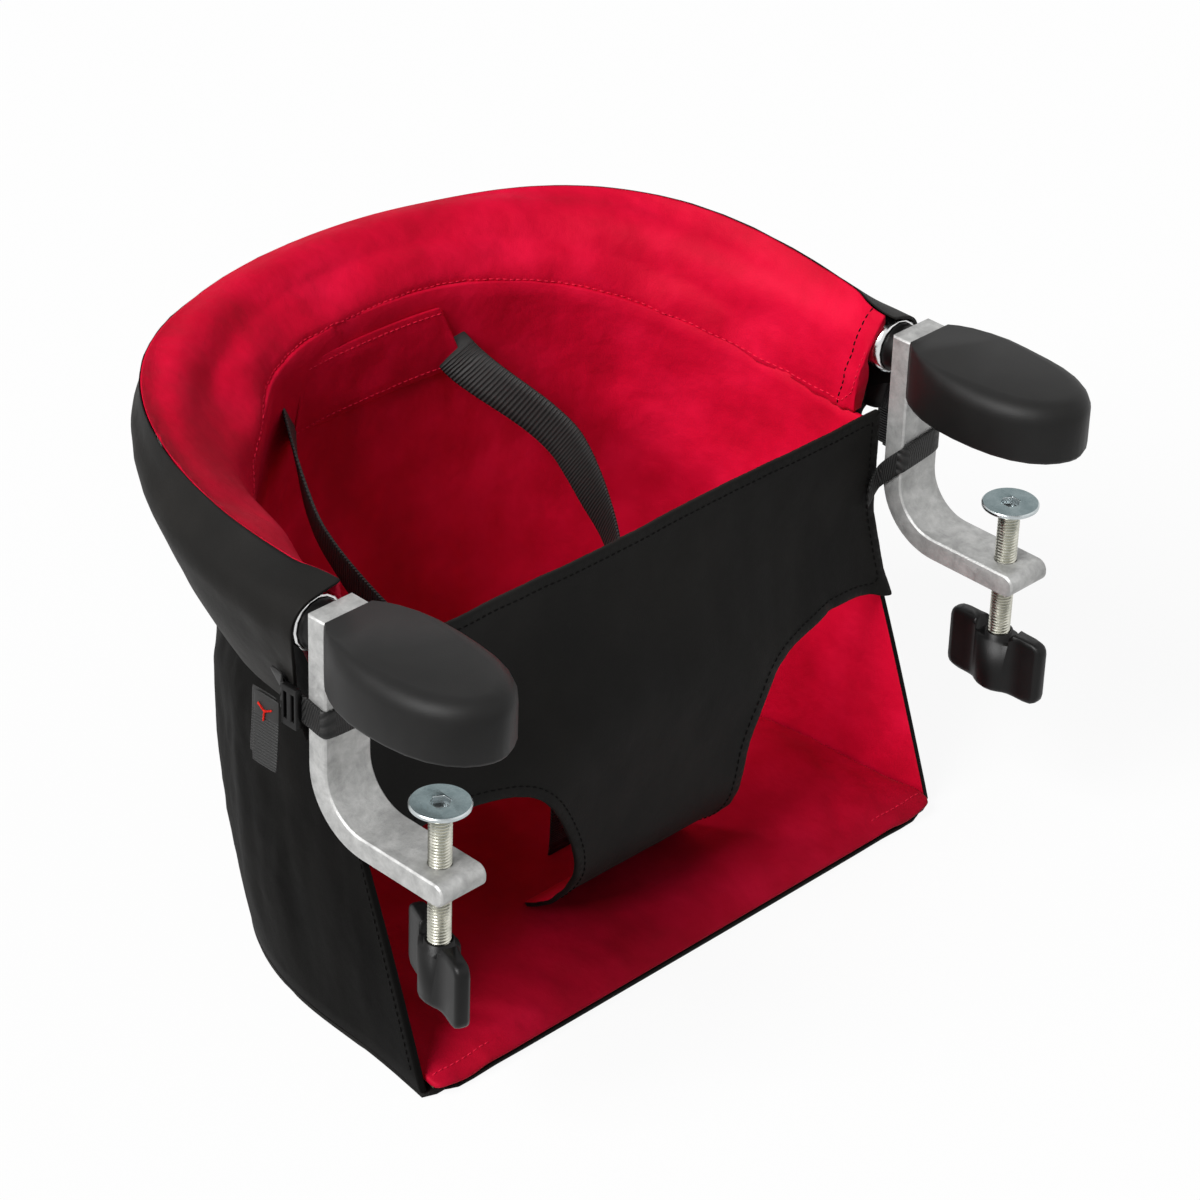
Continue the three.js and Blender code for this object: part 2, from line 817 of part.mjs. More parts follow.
function addBase() {
  const pipingInset = pipingDiameter + fitGap;
  add('base_cover', baseSlab(floorZ, trayThickness, 0, pipingInset), blackFabric);
  const boardZ = floorZ + trayThickness + fitGap;
  const inset = wallThickness + 2 * fitGap;
  add('seat_board', baseSlab(boardZ, boardThickness, inset, pipingInset), boardMaterial);
  const padZ = boardZ + boardThickness + fitGap;
  add('base_pad', baseSlab(padZ, basePadThickness, inset, pipingInset), redFabric);
  const length = 2 * wallHalfWidthFrontBase - pipingDiameter;
  const piping = rod(pipingDiameter / 2, length, rivetSides);
  piping.rotateY(rightAngle);
  piping.translate(-length / 2, frontEdgeY + pipingDiameter / 2, floorZ + pipingDiameter / 2);
  add('front_piping', piping, blackFabric);
}

// Sewn patch on the inside of the back that the belts come out of
function pointAtHeight(column, z) {
  for (let i = 0; i < column.length - 1; i += 1) {
    if (z <= column[i].z && z >= column[i + 1].z) {
      return column[i].clone().lerp(column[i + 1], (column[i].z - z) / (column[i].z - column[i + 1].z));
    }
  }
  return column[0].clone();
}
const guideStation = bendShare * (2 / Math.PI)
  * Math.asin((guideHalfWidth / wallHalfWidthTop) ** (wallSquareness / 2));
const guideSteps = 8;
const guideStandOff = wallThickness + 2 * fitGap + guideThickness;

function strapGuide() {
  const heights = [guideTopDrop, (guideTopDrop + guideBottomDrop) / 2, guideBottomDrop];
  const rows = heights.map((drop) => stationsBetween(-guideStation, guideStation, guideSteps)
    .map((station) => {
      const wall = pointAtHeight(wallColumn(station), -drop);
      return new THREE.Vector3(wall.x, wall.y - guideStandOff, wall.z);
    }));
  return sheet(rows, -guideThickness);
}

// The belts leave the ends of the patch, hang round the child's sides and come
// forward to their tongues. The left one lies further out than the right one.
const rightBeltRoute = [
  { xShare: 0.92, yShare: 0.985, dropShare: 0.196, facing: [0.15, -1, 0] },
  { xShare: 1, yShare: 0.88, dropShare: 0.31, facing: [-0.5, -0.7, 0.1] },
  { xShare: 1, yShare: 0.73, dropShare: 0.39, facing: [-1, -0.3, 0.2] },
  { xShare: 0.96, yShare: 0.607, dropShare: 0.47, facing: [-1, -0.1, 0.3] },
  { xShare: 0.92, yShare: 0.508, dropShare: 0.572, facing: [-1, 0.2, 0.3] },
  { xShare: 0.88, yShare: 0.409, dropShare: 0.71, facing: [-0.8, 0.6, 0.2] },
];
const leftBeltRoute = [
  { xShare: 0.92, yShare: 0.985, dropShare: 0.196, facing: [0.15, -1, 0] },
  { xShare: 1.12, yShare: 0.89, dropShare: 0.26, facing: [-0.5, -0.7, 0.1] },
  { xShare: 1.28, yShare: 0.74, dropShare: 0.345, facing: [-1, -0.3, 0.2] },
  { xShare: 1.34, yShare: 0.6, dropShare: 0.43, facing: [-1, -0.1, 0.3] },
  { xShare: 1.26, yShare: 0.49, dropShare: 0.56, facing: [-1, 0.2, 0.3] },
  { xShare: 1.06, yShare: 0.39, dropShare: 0.73, facing: [-0.8, 0.6, 0.2] },
];

function beltSolid(route) {
  const stops = route.map(({ xShare, yShare, dropShare, facing }) => ({
    at: new THREE.Vector3(beltSpread * xShare, beltBackY * yShare, -buckleDrop * dropShare),
    facing: new THREE.Vector3(...facing),
  }));
  const tongueX = buckleWidth / 2 + fitGap;
  const faceY = buckleY + bladeThickness / 2 + 2 * fitGap + beltThickness;
  const tongueZ = bladeRise - buckleDrop;
  for (const x of [tongueX + loopLength, tongueX + loopLength / 2]) {
    stops.push({ at: new THREE.Vector3(x, faceY, tongueZ), facing: new THREE.Vector3(0, 1, 0) });
  }
  return webbing(stops, beltWidth, beltThickness);
}

function beltTongue() {
  const z = bladeRise - buckleDrop;
  const loopX = buckleWidth / 2 + fitGap + loopLength / 2;
  const plate = block(loopLength, bladeThickness, loopHeight, loopX, buckleY, z);
  const blade = block(bladeLength + fitGap, bladeThickness, bladeWidth,
    buckleWidth / 2 + fitGap - bladeLength / 2, buckleY, z);
  const slot = block(loopSlotLength, bladeThickness + 2 * cutOverrun, loopSlotHeight,
    loopX + loopLength / 2 - loopSlotLength, buckleY, z);
  return cut(join(plate, blade), slot);
}

// Buckle with two side slots for the tongues and a well for the release button
function buckleHousing() {
  const half = buckleWidth / 2;
  const tall = buckleHeight / 2;
  const corner = buckleChamfer;
  const outline = new THREE.Shape([
    new THREE.Vector2(-half + corner, -tall), new THREE.Vector2(half - corner, -tall),
    new THREE.Vector2(half, -tall + corner), new THREE.Vector2(half, tall - corner),
    new THREE.Vector2(half - corner, tall), new THREE.Vector2(-half + corner, tall),
    new THREE.Vector2(-half, tall - corner), new THREE.Vector2(-half, -tall + corner),
  ]);
  const body = new THREE.ExtrudeGeometry(outline, { depth: buckleThickness, bevelEnabled: false });
  body.rotateX(rightAngle);
  body.translate(0, buckleY + buckleThickness / 2, -buckleDrop);
  const wellDepth = buttonDepth - buttonProud + buttonTravel + fitGap;
  const well = block(
    buttonWidth + 2 * fitGap, wellDepth + cutOverrun, buttonHeight + 2 * fitGap,
    0, buckleY - (buckleThickness - wellDepth + cutOverrun) / 2, -buckleDrop,
  );
  const slots = [-1, 1].map((side) => block(
    bladeLength + 2 * fitGap + cutOverrun, bladeThickness + 2 * fitGap, bladeWidth + 2 * fitGap,
    side * (half - (bladeLength + 2 * fitGap - cutOverrun) / 2), buckleY, bladeRise - buckleDrop,
  ));
  return cut(body, well, ...slots);
}

function buckleButton() {
  const faceY = buckleY - buckleThickness / 2 - buttonProud;
  return block(buttonWidth, buttonDepth, buttonHeight, 0, faceY + buttonDepth / 2, -buckleDrop);
}

// Strap from the buckle down to the base, its foot sewn flat on the pad
function crotchStrap() {
  const topZ = -buckleDrop - buckleHeight / 2 - fitGap;
  const lowZ = padTopZ + fitGap;
  const half = crotchStrapWidth / 2;
  const route = crotchRoute.map(({ dropShare, footShare }) => new THREE.Vector2(
    buckleY + crotchStrapFoot * footShare, between(topZ, lowZ, dropShare)));
  const row = (side) => route.map((p) => new THREE.Vector3(side * half, p.x, p.y));
  return sheet([row(-1), row(1)], crotchStrapThickness);
}
const crotchRoute = [
  { dropShare: 0, footShare: 0 },
  { dropShare: 0.5, footShare: 0 },
  { dropShare: 0.88, footShare: 0.02 },
  { dropShare: 0.97, footShare: 0.08 },
  { dropShare: 1, footShare: 0.2 },
  { dropShare: 1, footShare: 1 },
];

function addHarness() {
  add('strap_guide', strapGuide(), redFabric);
  add('right_belt', beltSolid(rightBeltRoute), blackWebbing);
  add('left_belt', mirrored(beltSolid(leftBeltRoute)), blackWebbing);
  addPair('belt_tongue', beltTongue(), blackPlastic);
  add('buckle_housing', buckleHousing(), blackPlastic);
  add('buckle_button', buckleButton(), redPlastic);
  add('crotch_strap', crotchStrap(), blackWebbing);
}

// Where the cover's outer face stands beside a clamp, at a given depth and height
function coverFaceX(y, z) {
  const run = (tubeStraightEndY - y) / (tubeStraightEndY - sleeveEndY);
  const { outer } = coverOuterLine(bendShare + (1 - bendShare) * run);
  const low = outer.findIndex((p, i) => i > coverArcSteps && p.y <= z + tubeRadius);
  const a = outer[low - 1];
  const b = outer[low];
  return clampX + between(a.x, b.x, (a.y - z - tubeRadius) / (a.y - b.y));
}

// Strap round a post: from the panel's face past the inner side and the front,
// back along the outer side, through its slider and on to the end of the sleeve
function postStrap(fall) {
  const inner = clampX - postWidth / 2 - fitGap;
  const outer = clampX + postWidth / 2 + fitGap;
  const front = -postThickness - fitGap;
  const panelFace = panelFrontY - fitGap - strapThickness;
  const route = [
    { x: strapStartX, y: panelFace, fallShare: 1 },
    { x: inner - 4 * strapCorner, y: panelFace, fallShare: 0.82 },
    { x: inner, y: panelFace - 2 * strapCorner, fallShare: 0.72 },
    { x: inner, y: front + strapCorner, fallShare: 0.44 },
    { x: inner + strapCorner, y: front, fallShare: 0.4 },
    { x: outer - strapCorner, y: front, fallShare: 0.33 },
    { x: outer, y: front + strapCorner, fallShare: 0.3 },
    { x: outer, y: 0, fallShare: 0.03 },
    { x: outer, y: sliderY, fallShare: 0 },
  ];
  const row = (lift) => {
    const points = route.map(({ x, y, fallShare }) => (
      new THREE.Vector3(x, y, lift - strapDrop - fall * fallShare)));
    const z = lift - strapDrop;
    const sewn = stationsBetween(sliderY + sliderLength / 2, strapEndY, strapSewnSteps);
    return [...points, ...sewn.map((y) => new THREE.Vector3(strapSewnX(y, z), y, z))];
  };
  return sheet([row(strapWidth / 2), row(-strapWidth / 2)], strapThickness);
}
const strapSewnSteps = 4;

function strapSewnX(y, z) {
  const outer = clampX + postWidth / 2 + fitGap;
  return Math.max(coverFaceX(y, z) + 4 * fitGap, y < sliderY + sliderLength ? outer : 0);
}

// Three-bar slider on the outer run of the strap
function strapSlider() {
  const x = clampX + postWidth / 2 + 2 * fitGap + strapThickness + sliderThickness / 2;
  const plate = block(sliderThickness, sliderLength, sliderHeight, x, sliderY, -strapDrop);
  const slots = [-1, 1].map((side) => block(
    sliderThickness + 2 * cutOverrun, sliderSlotWidth, strapWidth,
    x, sliderY + side * sliderLength / 4, -strapDrop,
  ));
  return cut(plate, ...slots);
}

// Free end of the strap, hanging from its sewn end
function strapTail() {
  const x = clampX + postWidth / 2 + 3 * fitGap + 2 * strapThickness;
  const row = (y) => tailShares.map(({ dropShare, leanShare }) => new THREE.Vector3(
    x + tailWidth * leanShare, y + tailWidth * leanShare, -strapDrop - tailLength * dropShare));
  return sheet([row(tailStartY), row(tailStartY + tailWidth)], -strapThickness);
}
const tailShares = [
  { dropShare: 0, leanShare: 0 },
  { dropShare: 0.3, leanShare: 0.01 },
  { dropShare: 0.65, leanShare: 0.05 },
  { dropShare: 1, leanShare: 0.1 },
];

// Clamp assembly, drawn for the side at +X and mirrored where its shape needs it

function bracket() {
  const outline = new THREE.Shape();
  const jawTop = -jawDepthBelowTop + postThickness;
  const bottom = -jawDepthBelowTop;
  outline.moveTo(0, 0);
  outline.lineTo(0, bottom + bracketOuterRadius);
  outline.absarc(-bracketOuterRadius, bottom + bracketOuterRadius, bracketOuterRadius,
    0, -rightAngle, true);
  outline.lineTo(-jawReach + jawCornerRadius, bottom);
  outline.absarc(-jawReach + jawCornerRadius, bottom + jawCornerRadius, jawCornerRadius,
    -rightAngle, -Math.PI, true);
  outline.lineTo(-jawReach, jawTop - jawCornerRadius);
  outline.absarc(-jawReach + jawCornerRadius, jawTop - jawCornerRadius, jawCornerRadius,
    Math.PI, rightAngle, true);
  outline.lineTo(-bracketOuterRadius, jawTop);
  outline.absarc(-bracketOuterRadius, jawTop + bracketInnerRadius, bracketInnerRadius,
    -rightAngle, 0, false);
  outline.lineTo(-postThickness, 0);
  const bar = new THREE.ExtrudeGeometry(outline, {
    depth: postWidth - 2 * bracketChamfer,
    curveSegments: bracketArcSteps,
    bevelEnabled: true,
    bevelSegments: 1,
    bevelSize: bracketChamfer,
    bevelThickness: bracketChamfer,
    bevelOffset: -bracketChamfer,
  });
  bar.translate(0, 0, -postWidth / 2 + bracketChamfer);
  // The outline's x and y become the part's y and z
  bar.applyMatrix4(new THREE.Matrix4().makeBasis(
    new THREE.Vector3(0, 1, 0), new THREE.Vector3(0, 0, 1), new THREE.Vector3(1, 0, 0)));
  bar.translate(clampX, 0, 0);
  const overlap = postThickness / 2;
  const arm = block(armWidth, armReach - overlap, armThickness,
    clampX, -(armReach + overlap) / 2, -armDrop - armThickness / 2);
  const screwHole = rod(screwDiameter / 2 + fitGap, jawDepthBelowTop, holeSides);
  screwHole.translate(clampX, -screwAxisY, -jawDepthBelowTop - jawDepthBelowTop / 2);
  const pinHole = alongY(rod(pivotPinDiameter / 2 + fitGap, postThickness, holeSides));
  pinHole.translate(clampX, -pivotPinSeatDepth - fitGap, -tubeRadius);
  return cut(join(bar, arm), screwHole, pinHole);
}
const bracketArcSteps = 9;
const holeSides = 20;

// Lays a solid that was turned about Z along Y instead
function alongY(geometry) {
  geometry.rotateX(-rightAngle);
  return geometry;
}

// Plug in the tube's end with a flange that the post runs against
function endBush() {
  const bore = pivotPinDiameter / 2 + fitGap;
  const flange = bushFlangeDiameter / 2;
  const plug = tubeRadius - tubeWall - fitGap;
  const flangeEnd = tubeEndY - 2 * fitGap;
  const length = flangeEnd + bushLength;
  const solid = alongY(turned([
    [bore, 0], [flange, 0], [flange, flangeEnd], [plug, flangeEnd],
    [plug, length], [bore, length], [bore, 0],
  ], tubeSides));
  solid.translate(clampX, fitGap, -tubeRadius);
  const pocket = rod(rivetShankDiameter / 2 + fitGap, tubeRadius, rivetSides);
  pocket.translate(clampX, tubeEndY + rivetSetback,
    -tubeDiameter + tubeWall + rivetSeatDepth + 2 * fitGap - tubeRadius);
  return cut(solid, pocket);
}

// Turned pin: seated in the post, running in the bush, with a head behind it
function pivotPin() {
  const radius = pivotPinDiameter / 2;
  const bushEnd = tubeEndY - fitGap + bushLength;
  const shank = pivotPinSeatDepth + bushEnd + fitGap;
  const solid = alongY(turned([
    [0, 0], [radius, 0], [radius, shank], [pivotHeadDiameter / 2, shank],
    [pivotHeadDiameter / 2, shank + pivotHeadLength], [0, shank + pivotHeadLength],
  ], holeSides));
  solid.translate(clampX, -pivotPinSeatDepth, -tubeRadius);
  return solid;
}

// Rivet that holds the bush, its head under the tube
function tubeRivet() {
  const shank = tubeWall + fitGap + rivetSeatDepth;
  const head = rivetHeadDiameter / 2;
  const solid = turned([
    [0, -rivetHeadHeight], [head * rivetDomeShare, -rivetHeadHeight], [head, -fitGap],
    [rivetShankDiameter / 2, -fitGap], [rivetShankDiameter / 2, shank], [0, shank],
  ], rivetSides);
  solid.translate(clampX, tubeEndY + rivetSetback, -tubeDiameter);
  return solid;
}
const rivetDomeShare = 0.6;

// Rubber grip: its plan from the mouth at the post to the nose, and its section
// from the underside to the crown
const gripPlan = [
  { alongShare: 0, widthShare: 0.49 },
  { alongShare: 0.05, widthShare: 0.62 },
  { alongShare: 0.124, widthShare: 0.76 },
  { alongShare: 0.213, widthShare: 0.88 },
  { alongShare: 0.326, widthShare: 0.97 },
  { alongShare: 0.45, widthShare: 1 },
  { alongShare: 0.573, widthShare: 0.99 },
  { alongShare: 0.685, widthShare: 0.94 },
  { alongShare: 0.787, widthShare: 0.84 },
  { alongShare: 0.871, widthShare: 0.69 },
  { alongShare: 0.933, widthShare: 0.51 },
  { alongShare: 0.972, widthShare: 0.32 },
  { alongShare: 0.994, widthShare: 0.14 },
];
const gripTopTurns = [0.18, 0.36, 0.55, 0.75, 1];
const gripMouthInsetShare = 0.22;

function grip() {
  const half = gripWidth / 2;
  const topZ = gripCrown;
  const levels = [
    { z: -gripHeight, inset: gripBottomRounding },
    { z: -gripHeight + gripBottomRounding / 3, inset: gripBottomRounding / 3 },
    { z: -gripHeight + gripBottomRounding, inset: 0 },
    { z: topZ - gripTopRounding, inset: 0 },
    ...gripTopTurns.map((turnShare) => ({
      z: topZ - gripTopRounding * (1 - Math.sin(turnShare * rightAngle)),
      inset: gripTopRounding * (1 - Math.cos(turnShare * rightAngle)),
    })),
  ];
  const rings = levels.map(({ z, inset }) => {
    const side = gripPlan.map(({ alongShare, widthShare }) => {
      const y = between(gripMouthY, -gripNoseY, alongShare);
      const drawn = between(gripMouthInsetShare, 1, Math.min((gripMouthY - y) / gripFlareLength, 1));
      return new THREE.Vector2(
        half * widthShare * (1 - (inset * drawn) / (half * gripPlanInsetShare)),
        between(gripMouthY, -gripNoseY + inset, alongShare),
      );
    });
    const nose = new THREE.Vector2(0, -gripNoseY + inset);
    const back = side.slice().reverse().map((p) => new THREE.Vector2(-p.x, p.y));
    return [...side, nose, ...back].map((p) => new THREE.Vector3(clampX + p.x, p.y, z));
  });
  const cavity = block(
    armWidth + 2 * fitGap, armReach + fitGap + cutOverrun, armThickness + 2 * fitGap,
    clampX, -(armReach + fitGap - cutOverrun) / 2, -armDrop - armThickness / 2,
  );
  return cut(loft(rings), cavity);
}
const gripPlanInsetShare = 1.05;

// Screw with a flat clamping disc on top, a cone under it and a hexagon recess
function clampScrew() {
  const head = screwHeadDiameter / 2;
  const shaft = screwDiameter / 2;
  const length = screwToKnob + screwInKnob;
  const solid = turned([
    [0, 0], [head, 0], [head, -screwHeadRim], [shaft, -screwHeadRim - screwHeadCone],
    [shaft, -length], [0, -length],
  ], screwSides);
  const recess = rod(hexAcrossFlats / Math.sqrt(3), hexDepth + cutOverrun, hexSides);
  recess.translate(0, 0, -hexDepth);
  const screw = cut(solid, recess);
  screw.translate(clampX, -screwAxisY, -screwHeadDrop);
  return screw;
}
const screwSides = 32;
const hexSides = 6;

// Knob: a vertical hub that runs out into two flat wings
const knobPlan = [
  { spanShare: 1, thickShare: 0.16 },
  { spanShare: 0.97, thickShare: 0.34 },
  { spanShare: 0.88, thickShare: 0.4 },
  { spanShare: 0.62, thickShare: 0.41 },
  { spanShare: 0.48, thickShare: 0.45 },
  { spanShare: 0.37, thickShare: 0.57 },
  { spanShare: 0.27, thickShare: 0.76 },
  { spanShare: 0.16, thickShare: 0.92 },
  { spanShare: 0, thickShare: 1 },
];
const knobRimShares = [0, 0.1, 0.3, 0.6, 1];
const knobRimThinning = 0.16;

function knob() {
  const radius = knobHubDiameter / 2;
  const rim = knobRimShares.map((depthShare) => ({
    depth: knobWingRounding * depthShare,
    inset: knobWingRounding * (1 - Math.sqrt(1 - (1 - depthShare) ** 2)),
    thin: 1 - knobRimThinning * Math.max(1 - depthShare / 0.3, 0),
  }));
  const levels = [
    ...rim.map(({ depth, inset, thin }) => ({ z: -depth, inset, thin })),
    ...rim.reverse().map(({ depth, inset, thin }) => ({ z: depth - knobWingHeight, inset, thin })),
  ];
  const rings = levels.map(({ z, inset, thin }) => {
    const quarter = knobPlan.map(({ spanShare, thickShare }) => new THREE.Vector2(
      radius * thickShare * thin, (knobWingSpan / 2 - inset) * spanShare));
    const back = quarter.slice(0, -1).reverse().map((p) => new THREE.Vector2(p.x, -p.y));
    const side = [...quarter, ...back];
    const other = side.slice().reverse().map((p) => new THREE.Vector2(-p.x, p.y));
    return [...side, ...other].map((p) => new THREE.Vector3(p.x, p.y, z));
  });
  const saddle = rod(knobSaddleRadius, knobSaddleDepth + cutOverrun, holeSides);
  saddle.translate(0, 0, -knobSaddleDepth);
  const body = cut(loft(rings), saddle);
  const collar = rod(knobCollarDiameter / 2, 2 * knobCollarHeight, holeSides);
  collar.translate(0, 0, -knobSaddleDepth - knobCollarHeight);
  const bore = rod(screwDiameter / 2 + fitGap, screwInKnob + fitGap + cutOverrun, holeSides);
  bore.translate(0, 0, knobCollarHeight - knobSaddleDepth - screwInKnob - fitGap);
  return cut(join(body, collar), bore);
}

function placedKnob(side, turnDegrees) {
  const geometry = knob();
  geometry.rotateZ(THREE.MathUtils.degToRad(turnDegrees));
  geometry.translate(side * clampX, -screwAxisY, knobTopZ - knobCollarHeight + knobSaddleDepth);
  return geometry;
}

seat.name = 'table_chair';
add('frame_tube', frameTube(), steelTube);
addPair('end_bush', endBush(), blackPlastic);
addPair('tube_rivet', tubeRivet(), zincSteel);
add('rim_pad', rimPad(), redFabric);
add('rim_cover', rimCover(), blackFabric);
addPair('side_panel', wallPanel(sideSeamStation + seamHalfGap, 1, sideWallSteps), blackFabric);
add('back_panel', wallPanel(-sideSeamStation + seamHalfGap, sideSeamStation - seamHalfGap,
  backWallSteps), blackFabric);
add('front_panel', frontPanel(), blackFabric);
addBase();
addHarness();
add('right_post_strap', postStrap(rightStrapFall), blackWebbing);
add('left_post_strap', mirrored(postStrap(leftStrapFall)), blackWebbing);
addPair('strap_slider', strapSlider(), blackPlastic);
addPair('strap_tail', strapTail(), blackWebbing);
addPair('bracket', bracket(), castAluminium);
addPair('pivot_pin', pivotPin(), zincSteel);
addPair('grip', grip(), blackRubber);
addPair('clamp_screw', clampScrew(), zincSteel);
add('right_knob', placedKnob(1, 0), blackPlastic);
add('left_knob', placedKnob(-1, -leftKnobTurnDegrees), blackPlastic);

// Move the origin under the middle of the part
const box = new THREE.Box3().setFromObject(seat);
const middle = box.getCenter(new THREE.Vector3());
seat.position.set(-middle.x, -middle.y, -box.min.z);

const part = new THREE.Group();
part.add(seat);

export default part;
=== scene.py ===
import heapq
import math
from contextlib import contextmanager

import bmesh
import bpy
from mathutils import Matrix, Vector, noise
from mathutils.bvhtree import BVHTree
from mathutils.geometry import delaunay_2d_cdt
from mathutils.kdtree import KDTree


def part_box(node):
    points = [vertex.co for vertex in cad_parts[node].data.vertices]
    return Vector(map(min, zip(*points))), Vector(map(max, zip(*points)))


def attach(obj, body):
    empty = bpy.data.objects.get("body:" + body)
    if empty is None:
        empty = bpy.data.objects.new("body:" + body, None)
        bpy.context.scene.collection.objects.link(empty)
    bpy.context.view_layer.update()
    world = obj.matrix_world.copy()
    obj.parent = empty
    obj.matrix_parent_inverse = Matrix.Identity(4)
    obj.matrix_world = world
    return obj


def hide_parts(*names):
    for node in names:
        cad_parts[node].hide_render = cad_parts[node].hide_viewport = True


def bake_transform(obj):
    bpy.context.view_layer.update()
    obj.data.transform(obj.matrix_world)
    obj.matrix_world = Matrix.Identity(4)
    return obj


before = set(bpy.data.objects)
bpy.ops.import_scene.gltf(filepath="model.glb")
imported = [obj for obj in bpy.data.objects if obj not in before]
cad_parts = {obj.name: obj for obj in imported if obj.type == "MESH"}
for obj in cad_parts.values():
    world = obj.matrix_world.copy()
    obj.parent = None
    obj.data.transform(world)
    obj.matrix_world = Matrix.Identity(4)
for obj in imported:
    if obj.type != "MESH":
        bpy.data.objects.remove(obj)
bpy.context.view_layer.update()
millimetre = 0.001


def addObject(name, data):
    thing = bpy.data.objects.new(name, data)
    bpy.context.scene.collection.objects.link(thing)
    return thing


def clearSelection():
    for obj in bpy.context.selected_objects:
        obj.select_set(False)
    bpy.context.view_layer.objects.active = None


class Graph:
    # the nodes of one material or world, and short ways to add the usual ones
    def __init__(self, tree):
        self.nodes, self.links = tree.nodes, tree.links

    def fill(self, node, inputs):
        # another node's socket is linked, a plain value is set
        for word, value in inputs.items():
            if isinstance(value, bpy.types.NodeSocket):
                self.links.new(value, node.inputs[word])
            else:
                node.inputs[word].default_value = value
        return node

    def add(self, kind, inputs, output=0, **settings):
        node = self.nodes.new("ShaderNode" + kind)
        for word, value in settings.items():
            setattr(node, word, value)
        return self.fill(node, inputs).outputs[output]

    def cloudy(self, scale, detail=3, roughness=0.5, distortion=0):
        place = self.add("TexCoord", {}, "Object")
        return self.add("TexNoise", {
            "Vector": place, "Scale": scale, "Detail": detail,
            "Roughness": roughness, "Distortion": distortion}, "Fac")

    def ramp(self, value, *stops):
        colours = self.nodes.new("ShaderNodeValToRGB")
        elements = colours.color_ramp.elements
        while len(elements) < len(stops):
            elements.new(0.5)
        for element, (position, colour) in zip(elements, stops):
            element.position = position
            element.color = (*colour, 1)
        return self.fill(colours, {"Fac": value}).outputs["Color"]

    def bumped(self, height, distance, below=None):
        inputs = {"Strength": 1, "Distance": distance, "Height": height}
        if below is not None:
            inputs["Normal"] = below
        return self.add("Bump", inputs, "Normal")


# camera and light
cameraLook = {
    "place": (-1.125, -1.13153, 1.1233), "azimuth": -45.9, "elevation": 31.78, "roll": 1.88,
    "lens": 126.33, "sensor": 36, "farthest": 20,
}


def placeCamera(look):
    azimuth, elevation, roll = (math.radians(look[word]) for word in ("azimuth", "elevation", "roll"))
    level = math.cos(elevation)
    forward = Vector((-math.sin(azimuth) * level, math.cos(azimuth) * level, -math.sin(elevation)))
    right = Vector((math.cos(azimuth), math.sin(azimuth), 0))
    up = right.cross(forward)
    turnedRight = right * math.cos(roll) + up * math.sin(roll)
    turnedUp = up * math.cos(roll) - right * math.sin(roll)
    camera = addObject("camera", bpy.data.cameras.new("camera"))
    camera.data.lens = look["lens"]
    camera.data.sensor_width = look["sensor"]
    camera.data.clip_end = look["farthest"]
    turn = Matrix((turnedRight, turnedUp, -forward)).transposed()
    camera.matrix_world = Matrix.Translation(look["place"]) @ turn.to_4x4()
    bpy.context.scene.camera = camera


studio = {
    "skyStrength": 0.11,
    "keyFrom": (-1.45, 0.1, 1.3), "keyStrength": 4.1, "keySoftness": 34,
    "fillFrom": (1.0, -1.8, 1.5), "fillStrength": 0.27, "fillSoftness": 60,
    "floorSize": 6, "floorHeight": -0.0005, "floorGrey": 0.82, "floorRoughness": 0.9, "floorGlow": 0.93,
}


def addSun(word):
    lamp = addObject(word + "Lamp", bpy.data.lights.new(word + "Lamp", "SUN"))
    lamp.data.energy = studio[word + "Strength"]
    lamp.data.angle = math.radians(studio[word + "Softness"])
    lamp.rotation_euler = Vector(studio[word + "From"]).to_track_quat("Z", "Y").to_euler()


def whiteForCamera(graph):
    # what the camera, and metal, see of the studio is plain white
    rays = graph.nodes.new("ShaderNodeLightPath").outputs
    either = graph.add("Math", {0: rays["Is Camera Ray"], 1: rays["Is Glossy Ray"]}, operation="MAXIMUM")
    return graph.add("Math", {0: either, 1: rays["Is Transmission Ray"]}, operation="MAXIMUM")


def newMaterial(name):
    material = bpy.data.materials.new(name)
    material.use_nodes = True
    return material, Graph(material.node_tree), material.node_tree.nodes["Principled BSDF"]


def buildStudio():
    bpy.context.scene.view_settings.view_transform = "Standard"
    world = bpy.data.worlds.new("studio")
    world.use_nodes = True
    bpy.context.scene.world = world
    graph = Graph(world.node_tree)
    sky = graph.fill(graph.nodes["Background"], {"Color": (1, 1, 1, 1), "Strength": studio["skyStrength"]})
    seen = graph.add("Background", {"Color": (1, 1, 1, 1), "Strength": 1})
    shown = graph.add("MixShader", {0: whiteForCamera(graph), 1: sky.outputs[0], 2: seen})
    graph.fill(graph.nodes["World Output"], {"Surface": shown})
    addSun("key")
    addSun("fill")

    clearSelection()
    bpy.ops.mesh.primitive_plane_add(size=studio["floorSize"], location=(0, 0, studio["floorHeight"]))
    floor = bpy.context.object
    floor.name = "floor"
    paper, graph, matt = newMaterial("paperFloor")
    graph.fill(matt, {
        "Base Color": (studio["floorGrey"],) * 3 + (1,), "Roughness": studio["floorRoughness"],
        "Specular IOR Level": 0})
    glow = graph.add("Emission", {"Strength": 1})
    share = graph.add("Math", {0: whiteForCamera(graph), 1: studio["floorGlow"]}, operation="MULTIPLY")
    shown = graph.add("MixShader", {0: share, 1: matt.outputs[0], 2: glow})
    graph.fill(graph.nodes["Material Output"], {"Surface": shown})
    floor.data.materials.append(paper)


placeCamera(cameraLook)
buildStudio()
print("camera and studio ready")


